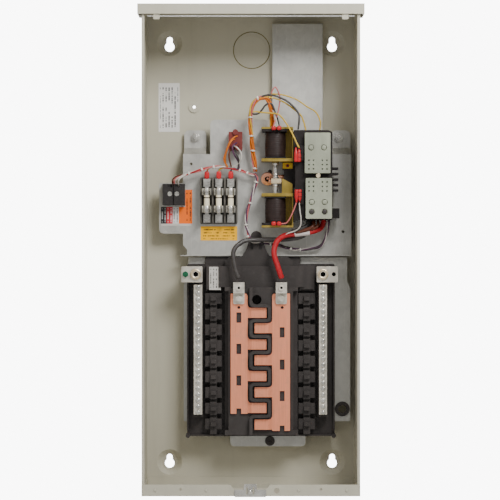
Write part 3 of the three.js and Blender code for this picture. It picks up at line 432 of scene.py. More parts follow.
@dataclass(frozen=True)
class Moulded(Finish):
    """Moulded plastic: spark-eroded grain, flow marks, and a film of dust."""

    dust: float = 0.35
    grain: float = 0.2

    def build(self, graph: Graph) -> bpy.types.Material:
        """See Finish.build."""
        grain = graph.noise(1600, 2, 0.5)
        flow = graph.noise(30, 4, 0.6, (1.0, 1.0, 0.4)).ramp(0.38, 0.7)
        dust = graph.noise(90, 5, 0.68).ramp(0.5, 0.78)
        scratch = graph.noise(420, 3, 0.6, (0.2, 1.0, 1.0)).ramp(0.66, 0.73)
        pale = tuple(0.11 + part * 0.75 for part in self.colour)
        base = graph.mix(flow, self.darker(0.85), self.darker(1.15))
        base = graph.mix(dust * self.dust * 0.35, base, pale)
        base = graph.mix(scratch * 0.12, base, pale)
        rough = self.rough + dust * 0.2 - flow * 0.08
        return self.shaded(graph, base, rough, grain, (self.grain, 0.0003))


@dataclass(frozen=True)
class Jacket(Finish):
    """Wire insulation: faint draw lines round the wire, scuffs and a dull waxy coat."""

    rough: float = 0.42
    specular: float = 0.3

    def build(self, graph: Graph) -> bpy.types.Material:
        """See Finish.build."""
        mottled = graph.noise(160, 4, 0.6).ramp(0.36, 0.68)
        fine = graph.noise(1400, 2, 0.5)
        scuff = graph.noise(520, 3, 0.7).ramp(0.62, 0.72)
        base = graph.mix(mottled, self.darker(0.82), self.colour)
        base = graph.mix(scuff * 0.15, base, (0.6, 0.58, 0.55))
        rough = self.rough + mottled * 0.12
        return self.shaded(graph, base, rough, fine, (0.15, 0.0002), Coat_Weight=0.1)


@dataclass(frozen=True)
class Wound(Finish):
    """Varnished tape over a coil: lapped turns, and patches lightened in colour as painted highlights."""

    def build(self, graph: Graph) -> bpy.types.Material:
        """See Finish.build."""
        _, _, level = graph.axes()
        wander = graph.noise(45, 3, 0.6)
        turns = ((level * 330.0 + wander * 0.6).fraction() - 0.5).absolute() * 2.0
        painted_sheen = graph.noise(120, 4, 0.65).ramp(0.4, 0.7)
        base = graph.mix(turns.ramp(0.7, 1.0), self.colour, self.darker(0.5))
        # painted highlight: lighter patches in the colour stand in for highlights on the varnish
        base = graph.mix(painted_sheen * 0.5, base, self.darker(1.7))
        height = turns * 0.7 + wander * 0.3
        return self.shaded(graph, base, self.rough + painted_sheen * 0.2, height, (0.35, 0.0006))


class Print(Enum):
    """What is printed on a label. None of it can be read."""

    PLAIN = 0
    COLUMNS = 1
    ROWS = 2
    DOT = 3


@dataclass(frozen=True)
class LabelPrint(Finish):
    """A printed label: broken ink lines that only look like writing, a border and a worn gloss."""

    rough: float = 0.4
    specular: float = 0.3
    style: Print = Print.ROWS
    ink: Colour = (0.05, 0.05, 0.05)
    lines: float = 8.0
    band: Colour = (0.8, 0.1, 0.1)

    def build(self, graph: Graph) -> bpy.types.Material:
        """See Finish.build."""
        across, up = graph.surface_uv()
        along, stack = (up, across) if self.style is Print.COLUMNS else (across, up)
        row = (stack * self.lines).fraction()
        stroke = row.ramp(0.28, 0.34) * row.ramp(0.72, 0.66)
        index = stack * self.lines - row
        values = {"Vector": self.joined(graph, along * 42.0, index * 7.3), "Scale": 1.0, "Detail": 1.0}
        gaps = Value(graph, graph.node("ShaderNodeTexNoise", None, values).outputs[0])
        ends = {"Vector": self.joined(graph, along * 3.0, index * 5.1), "Scale": 1.0, "Detail": 0.0}
        words = Value(graph, graph.node("ShaderNodeTexNoise", None, ends).outputs[0])
        sides = across.ramp(0.06, 0.08) * across.ramp(0.94, 0.92)
        margin = sides * up.ramp(0.07, 0.1) * up.ramp(0.93, 0.9)
        ink = stroke * gaps.ramp(0.44, 0.5) * words.ramp(0.38, 0.44) * margin
        wear = graph.noise(300, 4, 0.7).ramp(0.56, 0.75)
        paper = graph.mix(graph.noise(70, 3, 0.5), self.darker(0.93), self.colour)
        if self.style is Print.DOT:
            paper, ink = self.spotted(graph, paper, across, up)
        if self.style is Print.PLAIN:
            ink = ink * 0.0
        base = graph.mix(ink * (1.0 - wear * 0.5), paper, self.ink)
        rough = self.rough + wear * 0.2
        return self.shaded(graph, base, rough, wear, (0.1, 0.0002))

    def spotted(self, graph: Graph, paper: Value, across: Value, up: Value) -> tuple[Value, Value]:
        """A dark spot on a coloured round: each ends where 2.6 (u - 0.5)^2 + (v - 0.5)^2 passes a limit.

        Args:
            graph: the tree.
            paper: the colour under the print.
            across: the U coordinate.
            up: the V coordinate.

        Returns:
            The new paper colour and the mask of the spot.
        """
        offset = across - 0.5
        rise = up - 0.5
        away = offset * offset * 2.6 + rise * rise
        return graph.mix(away.ramp(0.085, 0.07), paper, self.band), away.ramp(0.030, 0.022)

    @staticmethod
    def joined(graph: Graph, first: Value, second: Value) -> Value:
        """Returns a vector made of two values."""
        made = graph.node("ShaderNodeCombineXYZ", None, {0: first, 1: second})
        return Value(graph, made.outputs[0])


DARK_INK = (0.03, 0.03, 0.03)
OFF_WHITE = (0.60, 0.57, 0.52)
ORANGE_PRINT = (1.0, 0.17, 0.008)

PAINT = PowderCoat("enclosure_paint", (0.52, 0.49, 0.385), 0.5, 0.25)
# painted shade: a dark paint colour that stands in for the shade in the knockout's groove
PAINTED_GROOVE_SHADE = PowderCoat("painted_groove_shade", (0.20, 0.175, 0.075), 0.6, 0.1)
ZINC_SHEET = Galvanised("galvanised_sheet", (0.52, 0.51, 0.47), 0.36, 0.4)
BRIGHT = PlatedSteel("bright_zinc", (0.58, 0.56, 0.51), 0.24, tint=(0.72, 0.70, 0.64))
CHROMATE = PlatedSteel("yellow_chromate", (0.33, 0.235, 0.045), 0.28, tint=(0.42, 0.30, 0.07),
                       metallic=0.6)
BRASS = PlatedSteel("brass", (0.64, 0.50, 0.30), 0.30, tint=(0.78, 0.66, 0.46), metallic=0.8)
COPPER = RolledCopper("bus_copper", (1.0, 0.36, 0.20), 0.36)
LEVER_COPPER = PlatedSteel("lever_copper", (0.56, 0.26, 0.17), 0.32, tint=(0.66, 0.38, 0.28))
ALUMINIUM = PlatedSteel("aluminium", (0.70, 0.65, 0.55), 0.34, tint=(0.84, 0.78, 0.68), metallic=0.8)
BLACK = Moulded("black_moulding", (0.048, 0.041, 0.038), 0.5, 0.22)
SWITCH_BLACK = Moulded("switch_moulding", (0.014, 0.010, 0.009), 0.45, 0.25)
TERMINAL_BLACK = Moulded("terminal_moulding", (0.032, 0.028, 0.027), 0.5, 0.2, dust=0.35)
FUSE_BLACK = Moulded("fuse_moulding", (0.11, 0.102, 0.086), 0.5, 0.2)
# painted shade: a near-black finish for thin discs set where there is only the shade inside a hole
PAINTED_HOLE_SHADE = Moulded("painted_hole_shade", (0.004, 0.004, 0.004), 0.8, 0.0)
GREY = Moulded("grey_moulding", (0.33, 0.345, 0.26), 0.48, 0.2, dust=0.12, grain=0.12)
MAROON = Moulded("relay_moulding", (0.19, 0.036, 0.030), 0.34, 0.3, dust=0.3, grain=0.08)
RED_BOOT = Moulded("red_boot", (0.52, 0.018, 0.022), 0.38, 0.3, dust=0.15, grain=0.08)
CERAMIC = Moulded("fuse_ceramic", (0.95, 0.86, 0.62), 0.4, 0.4, dust=0.1, grain=0.08)
GREEN = PlatedSteel("green_screw", (0.01, 0.11, 0.05), 0.38, tint=(0.03, 0.18, 0.09), metallic=0.6)
COIL_TAPE = Wound("coil_tape", (0.022, 0.012, 0.010), 0.42, 0.3)
CORD_BLACK = Jacket("jacket_black", (0.058, 0.051, 0.047), 0.42, 0.35)
CORD_RED = Jacket("jacket_red", (0.44, 0.012, 0.018), 0.36, 0.3)
CORD_ORANGE = Jacket("jacket_orange", (0.68, 0.17, 0.015), 0.40, 0.3)
CORD_YELLOW = Jacket("jacket_yellow", (0.66, 0.43, 0.05))
CORD_WHITE = Jacket("jacket_white", (0.66, 0.61, 0.54))
CORD_PINK = Jacket("jacket_pink", (0.60, 0.16, 0.15))
CORD_PURPLE = Jacket("jacket_purple", (0.10, 0.035, 0.085))
CORD_BROWN = Jacket("jacket_brown", (0.12, 0.03, 0.012))
TIE_WHITE = Moulded("tie_nylon", (0.76, 0.73, 0.66), 0.40, 0.3, dust=0.1, grain=0.06)


# ---------------------------------------------------------------- surfaces


@dataclass
class Skin:
    """One closed or open grid of points, ready to become faces."""

    points: np.ndarray
    faces: np.ndarray
    uv: np.ndarray
    slot: int = 0


def loft(rings: np.ndarray, slot: int = 0, closed: bool = True) -> Skin:
    """Skins a stack of rings, with a pole at each end.

    Ring i, place j is rings[i, j]. Quads join ring i to ring i + 1, round the seam, and a fan of triangles,
    written as quads with a repeated corner, joins each end ring to its own centre.

    Args:
        rings: an array of shape (n, m, 3).
        slot: the material slot of the faces.
        closed: whether the end poles are added.

    Returns:
        The skin, facing outwards.
    """
    n, m, _ = rings.shape
    points = rings.reshape(-1, 3)
    i, j = np.meshgrid(np.arange(n - 1), np.arange(m), indexing="ij")
    k = (j + 1) % m
    faces = np.stack([i * m + j, i * m + k, (i + 1) * m + k, (i + 1) * m + j], -1).reshape(-1, 4)
    u = np.stack([i, i, i + 1, i + 1], -1).reshape(-1, 4) / max(n - 1, 1)
    v = np.stack([j, j + 1, j + 1, j], -1).reshape(-1, 4) / m
    uv = np.stack([u, v], -1)
    if closed:
        points = np.vstack([points, rings[0].mean(0), rings[-1].mean(0)])
        a = np.arange(m)
        b = (a + 1) % m
        pole = np.full(m, n * m)
        first = np.stack([b, a, pole, pole], -1)
        last = np.stack([(n - 1) * m + a, (n - 1) * m + b, pole + 1, pole + 1], -1)
        faces = np.vstack([faces, first, last])
        uv = np.concatenate([uv, np.zeros((m, 4, 2)), np.ones((m, 4, 2))])
    corner = points[faces]
    triple = np.einsum("ij,ij->i", corner[:, 0], np.cross(corner[:, 1], corner[:, 2]))
    triple = triple + np.einsum("ij,ij->i", corner[:, 0], np.cross(corner[:, 2], corner[:, 3]))
    if triple.sum() < 0:
        faces = faces[:, ::-1]
        uv = uv[:, ::-1]
    return Skin(points, faces, uv, slot)


def spread(route: Sequence[Point], count: int) -> tuple[np.ndarray, np.ndarray]:
    """A smooth path through points, as whole arrays.

    Cubic Hermite pieces between points at knots t (the root of the chord lengths, added up), with slopes
    m_i = (p_(i+1) - p_(i-1)) / (t_(i+1) - t_(i-1)).

    Args:
        route: the points, in millimetres.
        count: how many places to return.

    Returns:
        The places and the unit tangents, in millimetres.
    """
    p = np.asarray(route, float)
    chord = np.sqrt(np.linalg.norm(np.diff(p, axis=0), axis=1))
    t = np.concatenate([[0.0], np.cumsum(chord)])
    padded = np.vstack([2 * p[0] - p[1], p, 2 * p[-1] - p[-2]])
    knots = np.concatenate([[-chord[0]], t, [t[-1] + chord[-1]]])
    slope = (padded[2:] - padded[:-2]) / (knots[2:] - knots[:-2])[:, None]
    s = np.linspace(0, t[-1], count)
    i = np.clip(np.searchsorted(t, s, side="right") - 1, 0, len(p) - 2)
    h = (t[i + 1] - t[i])[:, None]
    x = ((s - t[i]) / h[:, 0])[:, None]
    place = (
        (2 * x**3 - 3 * x**2 + 1) * p[i]
        + (x**3 - 2 * x**2 + x) * h * slope[i]
        + (3 * x**2 - 2 * x**3) * p[i + 1]
        + (x**3 - x**2) * h * slope[i + 1]
    )
    tangent = np.gradient(place, axis=0)
    tangent /= np.linalg.norm(tangent, axis=1, keepdims=True)
    return place, tangent


def side_axes(place: np.ndarray, tangent: np.ndarray) -> tuple[np.ndarray, np.ndarray]:
    """Two axes across a path. The first comes from the normal of the plane that the path nearly lies in.

    Args:
        place: the path's places.
        tangent: its unit tangents.

    Returns:
        Two arrays of unit vectors.
    """
    flat = np.linalg.svd(place - place.mean(0), full_matrices=False)[2][2]
    first = np.cross(tangent, flat)
    first /= np.linalg.norm(first, axis=1, keepdims=True)
    return first, np.cross(first, tangent)


def tube(route: Sequence[Point], radius: float, count: int = 48, sides: int = 12, slot: int = 0) -> Skin:
    """A round cord along a route, by swept().

    Args:
        route: the points, in millimetres.
        radius: in millimetres.
        count: rings along the cord.
        sides: places round it.
        slot: the material slot.

    Returns:
        The skin, in metres.
    """
    place, tangent = spread(route, count)
    return swept(place, tangent, radius, sides, slot)


def swept(place: np.ndarray, tangent: np.ndarray, radius: float, sides: int, slot: int = 0) -> Skin:
    """A round cord: P(s) + r(s) (cos a N(s) + sin a B(s)), where r drops to END_SHARE of it at the ends.

    Args:
        place: the places P, in millimetres.
        tangent: the unit tangents there.
        radius: in millimetres.
        sides: places round it.
        slot: the material slot.

    Returns:
        The skin, in metres.
    """
    first, second = side_axes(place, tangent)
    around = np.linspace(0, 2 * math.pi, sides, endpoint=False)[None, :, None]
    end = np.minimum(np.arange(len(place)), np.arange(len(place))[::-1])
    r = radius * np.where(end == 0, END_SHARE, 1.0)[:, None, None]
    ring = np.cos(around) * first[:, None] + np.sin(around) * second[:, None]
    return loft((place[:, None] + r * ring) * MM, slot)


def bundle(route: Sequence[Point], wire: float, slots: Sequence[int], turns: float, count: int,
           seed: int) -> list[Skin]:
    """Wires laid round a shared path: each is offset by R (cos(p + 2 pi t s) N + sin(p + 2 pi t s) B).

    R is the wire's radius times LAY_SHARE for each wire, and wanders by the share LAY_WANDER.

    Args:
        route: the path, in millimetres.
        wire: each wire's radius, in millimetres.
        slots: one material slot for each wire.
        turns: how often the bundle twists from end to end.
        count: rings along each wire.
        seed: picks the small wander of the wires.

    Returns:
        One skin for each wire.
    """
    place, tangent = spread(route, count)
    first, second = side_axes(place, tangent)
    s = np.linspace(0, 1, count)
    rng = np.random.default_rng(seed)
    skins = []
    for index, slot in enumerate(slots):
        reach = wire * max(1.05, len(slots) * LAY_SHARE)
        wander = 1 + LAY_WANDER * np.sin(s * 2 * math.pi * rng.uniform(2, 5) + rng.uniform(0, 6))
        angle = 2 * math.pi * (index / len(slots) + turns * s) + 0.3 * np.sin(s * 9 + index)
        away = np.cos(angle)[:, None] * first + np.sin(angle)[:, None] * second
        offset = (reach * wander)[:, None] * away
        moved = place + offset
        along = np.gradient(moved, axis=0)
        along /= np.linalg.norm(along, axis=1, keepdims=True)
        skins.append(swept(moved, along, wire, 8, slot))
    return skins


def turned(profile: Sequence[tuple[float, float]], at: Point, axis: Point, sides: int = 24, slot: int = 0,
           hollow: bool = False) -> Skin:
    """A surface of revolution: at + h A + r (cos a U + sin a V) over a profile of (r, h).

    Args:
        profile: radius and height pairs, in millimetres, from one end to the other.
        at: where height 0 is, in millimetres.
        axis: the direction of the height.
        sides: places round it.
        slot: the material slot.
        hollow: leaves the middle open, for a profile that comes back to its start.

    Returns:
        The skin, in metres.
    """
    rh = np.asarray(profile, float)
    along = np.asarray(axis, float) / np.linalg.norm(axis)
    helper = np.array([1.0, 0.0, 0.0]) if abs(along[0]) < 0.9 else np.array([0.0, 0.0, 1.0])
    u = np.cross(along, helper)
    u /= np.linalg.norm(u)
    v = np.cross(along, u)
    around = np.linspace(0, 2 * math.pi, sides, endpoint=False)
    ring = np.cos(around)[:, None] * u + np.sin(around)[:, None] * v
    points = np.asarray(at) + rh[:, 1][:, None, None] * along + rh[:, 0][:, None, None] * ring[None]
    return loft(points * MM, slot, not hollow)


def pillow(centre: Point, half: Point, power: float, taper: float = 0.0, count: int = 14) -> Skin:
    """A rounded block: |x/a|^p + |z/c|^p = 1 in each level, with levels that close at the front and the back.

    Args:
        centre: the middle, in millimetres.
        half: half sizes along X, Y and Z, in millimetres.
        power: how square it is.
        taper: how much narrower the front level is.
        count: levels from back to front.

    Returns:
        The skin, in metres.
    """
    level = np.linspace(-1, 1, count) * 0.999
    shrink = (1 - np.abs(level) ** (power + 3)) ** (1 / (power + 3)) * (1 - taper * (1 - level) / 2)
    a = np.linspace(0, 2 * math.pi, 28, endpoint=False)
    c, s = np.cos(a), np.sin(a)
    grow = (np.abs(c) ** power + np.abs(s) ** power) ** (-1 / power)
    x = shrink[:, None] * (grow * c)[None] * half[0]
    z = shrink[:, None] * (grow * s)[None] * half[2]
    y = np.broadcast_to((level * half[1])[:, None], x.shape)
    return loft((np.stack([x, y, z], -1) + np.asarray(centre)) * MM)


def boot(centre: Point, half: Point, point: int) -> Skin:
    """A push-on boot that stands along Z: rounded rings whose width drops to 0.45 towards the lead.

    With s from -1 to 1 up the boot, the width is (1 - s^10)^(1/10) (1 - 0.55 e), where e eases from 0 to 1 as
    point s goes from 0 to 1, and each ring is |x/a|^3 + |y/b|^3 = 1.

    Args:
        centre: the middle, in millimetres.
        half: half sizes along X, Y and Z.
        point: 1 if the lead leaves at the top, -1 at the bottom.

    Returns:
        The skin, in metres.
    """
    s = np.linspace(-0.998, 0.998, 26)
    ease = np.clip(point * s, 0, 1)
    ease = ease * ease * (3 - 2 * ease)
    width = (1 - np.abs(s) ** 10) ** 0.1 * (1 - 0.55 * ease)
    a = np.linspace(0, 2 * math.pi, 20, endpoint=False)
    c, d = np.cos(a), np.sin(a)
    grow = (np.abs(c) ** 3 + np.abs(d) ** 3) ** (-1 / 3)
    x = width[:, None] * (grow * c)[None] * half[0]
    y = width[:, None] * (grow * d)[None] * half[1]
    z = np.broadcast_to((s * half[2])[:, None], x.shape)
    return loft((np.stack([x, y, z], -1) + np.asarray(centre)) * MM)


def sheet(x0: float, x1: float, z0: float, z1: float, y: float, thick: float = 0.25,
          curl: float = 0.25) -> Skin:
    """A stuck-down label: a thin slab whose face lifts by curl (x^6 + z^6) / 2 towards its corners.

    Args:
        x0: left edge, in millimetres.
        x1: right edge.
        z0: lower edge.
        z1: upper edge.
        y: the face it sticks to.
        thick: the label's thickness.
        curl: how far the corners lift.

    Returns:
        The skin, in metres, with UV over the front face.
    """
    n = 12
    a = np.linspace(-1, 1, n)
    x, z = np.meshgrid(a, a, indexing="ij")
    lift = curl * (x**6 + z**6) / 2
    px = x0 + (x + 1) / 2 * (x1 - x0)
    pz = z0 + (z + 1) / 2 * (z1 - z0)
    front = np.stack([px, y - thick - lift, pz], -1).reshape(-1, 3)
    back = np.stack([px, y - lift * 0.9 + 0 * px, pz], -1).reshape(-1, 3)
    i, j = np.meshgrid(np.arange(n - 1), np.arange(n - 1), indexing="ij")
    quad = np.stack([i * n + j, (i + 1) * n + j, (i + 1) * n + j + 1, i * n + j + 1], -1).reshape(-1, 4)
    up = np.arange(n - 1)
    down = np.arange(n - 1, 0, -1)
    rim = np.concatenate([up * n, (n - 1) * n + up, down * n + n - 1, down])
    after = np.roll(rim, -1)
    wall = np.stack([rim, rim + n * n, after + n * n, after], -1)
    faces = np.vstack([quad, quad[:, ::-1] + n * n, wall])
    unit = np.stack([(x + 1) / 2, (z + 1) / 2], -1).reshape(-1, 2)
    uv = np.vstack([unit, unit])[faces]
    return Skin(np.vstack([front, back]) * MM, faces, uv)


@dataclass
class Piece:
    """A named object made of one or more skins that rides on a CAD body."""

    name: str
    skins: list[Skin] = field(default_factory=list)
    finishes: list[Finish] = field(default_factory=list)
    body: Body = Body.ENCLOSURE
    smooth: bool = True

    def build(self, replaces: Sequence[str] = (), slot: str | None = None) -> bpy.types.Object:
        """Makes the mesh and puts it on its body.

        Args:
            replaces: the CAD nodes it stands for.
            slot: not used.

        Returns:
            The new object.
        """
        start = np.cumsum([0] + [len(s.points) for s in self.skins[:-1]])
        points = np.vstack([s.points for s in self.skins])
        faces = np.vstack([s.faces + o for s, o in zip(self.skins, start)])
        uv = np.concatenate([s.uv for s in self.skins])
        slots = np.concatenate([np.full(len(s.faces), s.slot) for s in self.skins])
        kept = faces != np.roll(faces, 1, axis=1)
        single = kept.reshape(-1)
        sizes = kept.sum(1)
        mesh = bpy.data.meshes.new(self.name)
        mesh.vertices.add(len(points))
        mesh.vertices.foreach_set("co", points.astype(np.float32).ravel())
        mesh.loops.add(int(sizes.sum()))
        mesh.loops.foreach_set("vertex_index", faces.reshape(-1)[single].astype(np.int32))
        mesh.polygons.add(len(faces))
        starts = np.concatenate([[0], np.cumsum(sizes)[:-1]])
        mesh.polygons.foreach_set("loop_start", starts.astype(np.int32))
        mesh.polygons.foreach_set("material_index", slots.astype(np.int32))
        mesh.polygons.foreach_set("use_smooth", np.full(len(faces), self.smooth))
        layer = mesh.uv_layers.new(name="UVMap")
        layer.data.foreach_set("uv", uv.reshape(-1, 2)[single].astype(np.float32).ravel())
        mesh.update(calc_edges=True)
        mesh.validate()
        for finish in self.finishes:
            mesh.materials.append(finish.material())
        made = bpy.data.objects.new(self.name, mesh)
        bpy.context.scene.collection.objects.link(made)
        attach(made, self.body.value)
        if replaces:
            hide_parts(*replaces)
        LOG.info("%s: %d faces", self.name, len(faces))
        return made


# ---------------------------------------------------------------- dressing of the CAD parts


@dataclass
class CadCoat:
    """Puts finishes on CAD nodes, and breaks edges sharper than the corner angle with a fine bevel."""

    nodes: dict[str, bpy.types.Object]
    merge: float = 1e-6
    corner: float = 40.0
    segments: int = 2

    def dress(self, finish: Finish, names: Sequence[str], edge: float = 0.35) -> None:
        """Dresses nodes.

        Args:
            finish: the finish that they get.
            names: the nodes.
            edge: the bevel's width in millimetres; 0 leaves the edges sharp.
        """
        for name in names:
            node = self.nodes[name]
            node.material_slots[0].material = finish.material()
            if edge <= 0:
                continue
            weld = node.modifiers.new("weld", "WELD")
            weld.merge_threshold = self.merge
            bevel = node.modifiers.new("edges", "BEVEL")
            bevel.width = edge * MM
            bevel.segments = self.segments
            bevel.limit_method = "ANGLE"
            bevel.angle_limit = math.radians(self.corner)
            bevel.harden_normals = True


# ---------------------------------------------------------------- sub-assemblies

FRONT: Point = (0.0, -1.0, 0.0)
UP: Point = (0.0, 0.0, 1.0)


@dataclass
class Label:
    """A printed label stuck to a flat face, named after its print. Its sizes are in millimetres."""

    finish: LabelPrint
    left: float
    right: float
    low: float
    high: float
    face: float
    curl: float = 0.2
    thick: float = 0.25

    def build(self) -> bpy.types.Object:
        """Returns the label, riding on the enclosure."""
        skin = sheet(self.left, self.right, self.low, self.high, self.face, self.thick, self.curl)
        return Piece(self.finish.name, [skin], [self.finish], smooth=False).build()


@dataclass
class Enclosure:
    """The sheet-steel case: its paint, rating label and small hardware, with sizes in millimetres."""

    coat: CadCoat
    floor: float = -7.5
    sill: tuple[float, float] = (-161.85, -377.0)
    weld_places: tuple[float, ...] = (-150, -70, 75, 150)
    rivet: Point = (-1, -165.4, -378.5)
    knockout: tuple[float, float] = (1.3, 328)
    knockout_radius: float = 30.0

    def build(self) -> None:
        """Dresses the case and adds what is fixed to it."""
        self.coat.dress(PAINT, ["enclosure_shell", "top_hood", "bottom_end_wall"], 0.5)
        self.coat.dress(BRIGHT, ["latch_hasp", "panel_stud_left", "panel_stud_right"], 0.3)
        self.coat.dress(ZINC_SHEET, ["barrier_channel", "transfer_panel", "interior_pan"], 0.4)
        white = (0.80, 0.78, 0.75)
        rating = LabelPrint("rating_label", white, style=Print.COLUMNS, ink=DARK_INK, lines=7.0)
        Label(rating, -151.5, -117, 194, 274, self.floor).build()
        self.rivets()
        self.knockout_outline()

    def rivets(self) -> None:
        """Domed spot-weld dimples along the front sill, and the latch's rivet."""
        dome = [(2.6, 0.0), (2.4, 0.5), (1.6, 1.0), (0.6, 1.2)]
        y, z = self.sill
        skins = [turned(dome, (x, y, z), FRONT, 14) for x in self.weld_places]
        Piece("spot_welds", skins, [PAINT]).build()
        head = [(3.6, 0.0), (3.5, 0.8), (2.6, 1.8), (1.2, 2.3)]
        Piece("latch_rivet", [turned(head, self.rivet, FRONT)], [BRIGHT]).build()

    def knockout_outline(self) -> None:
        """A low bead round the knockout, painted dark as the shade of its groove, turned from a closed
        profile of offsets from its radius.
        """
        bead = [(-0.7, 0.0), (-0.4, 0.35), (0.4, 0.35), (0.7, 0.0), (0.0, -0.2), (-0.7, 0.0)]
        outline = [(self.knockout_radius + offset, height) for offset, height in bead]
        x, z = self.knockout
        rim = turned(outline, (x, self.floor, z), FRONT, 72, hollow=True)
        Piece("knockout_outline", [rim], [PAINTED_GROOVE_SHADE]).build()


@dataclass
class ControlStation:
    """Terminal block, wire-colour label, caution labels, fuse bank and relay on the left of the panel."""

    coat: CadCoat
    face: float = -38.0
    fuse_middle: Point = (-51.9, -61, 80)
    fuse_pitch: float = 19.4
    faston_at: tuple[float, float] = (-50.5, 121.5)
    lead_ends: tuple[float, ...] = (133.5, 133.8, 130.5)

    def build(self) -> None:
        """Dresses the parts and sticks the labels on."""
        self.coat.dress(TERMINAL_BLACK, ["terminal_block"], 0.3)
        self.coat.dress(FUSE_BLACK, ["fuse_block"], 0.3)
        self.coat.dress(BRIGHT, ["terminal_screw_1", "terminal_screw_2"], 0.2)
        self.coat.dress(MAROON, ["relay"], 0.4)
        self.coat.dress(CERAMIC, ["fuse_1", "fuse_2", "fuse_3"], 0)
        clips = [f"fuse_clip_{end}_{k}" for end in ("upper", "lower") for k in (1, 2, 3)]
        self.coat.dress(BRIGHT, clips, 0.12)
        self.labels()
        self.fuse_caps()
        self.fastons()

    def fuse_places(self) -> list[float]:
        """Returns the X of each fuse."""
        return [self.fuse_middle[0] + step * self.fuse_pitch for step in (-1, 0, 1)]

    def labels(self) -> None:
        """Wire-colour strips, the L-shaped caution label and the fuse label."""
        low, high = 43, 70
        strips = [
            ("strip_black", -146.4, -137.2, (0.03, 0.03, 0.03), (0.55, 0.55, 0.55)),
            ("strip_red", -137.2, -127.2, (0.62, 0.045, 0.055), (0.8, 0.7, 0.68)),
            ("strip_white", -127.2, -117.2, (0.75, 0.73, 0.72), (0.08, 0.08, 0.08)),
        ]
        for name, left, right, colour, ink in strips:
            finish = LabelPrint(name, colour, 0.38, style=Print.COLUMNS, ink=ink, lines=2.0)
            Label(finish, left, right, low, high, self.face, 0.05).build()
        foot = LabelPrint("strip_foot", OFF_WHITE, style=Print.PLAIN)
        Label(foot, -146.4, -97, 39.4, 42.8, self.face, 0.05).build()
        block = LabelPrint("caution_block", ORANGE_PRINT, 0.36, style=Print.PLAIN)
        Label(block, -117.0, -106.6, low, high, self.face, 0.05).build()
        column = LabelPrint("caution_column", ORANGE_PRINT, 0.36, style=Print.COLUMNS,
                            ink=(0.07, 0.03, 0.02), lines=2.0)
        Label(column, -106.6, -95.4, low, 98, self.face, 0.1).build()
        brown_ink = (0.12, 0.06, 0.01)
        yellow = LabelPrint("fuse_label", (1.0, 0.50, 0.002), 0.36, ink=brown_ink, lines=4.6)
        Label(yellow, -81.7, -22.3, 15.5, 38.5, self.face, 0.3).build()

    def fuse_caps(self) -> None:
        """Bright end caps and a dark ring over each ceramic fuse, which pull out with it."""
        shell = [(5.0, 8.6), (5.32, 9.2), (5.32, 19.0), (4.9, 20.1), (2.0, 20.3), (0.6, 20.3)]
        ring = [(4.7, 3.6), (4.86, 3.8), (4.86, 5.2), (4.7, 5.4)]
        _, y, z = self.fuse_middle
        bodies = (Body.FUSE_1, Body.FUSE_2, Body.FUSE_3)
        for k, (x, body) in enumerate(zip(self.fuse_places(), bodies), 1):
            skins = [turned([(r, end * h) for r, h in shell], (x, y, z), UP) for end in (-1, 1)]
            skins.append(turned(ring, (x, y, z), UP, slot=1))
            Piece(f"fuse_caps_{k}", skins, [BRIGHT, COIL_TAPE], body).build()

    def fastons(self) -> None:
        """Insulated push-on terminals above the fuse block, with the lead that leaves each."""
        y, z = self.faston_at
        skins = []
        for slot, (x, end) in enumerate(zip(self.fuse_places(), self.lead_ends), 1):
            skins.append(pillow((x, y, z), (3.9, 2.6, 6.2), 4.0))
            route = [(x, y, z + 4.5), (x + 1, -52, 130), (x + 4, -54, 132), (x + 11, -56, end)]
            skins.append(tube(route, 1.3, 14, 8, slot))
        Piece("fuse_fastons", skins, [RED_BOOT, CORD_ORANGE, CORD_YELLOW, CORD_PURPLE]).build()


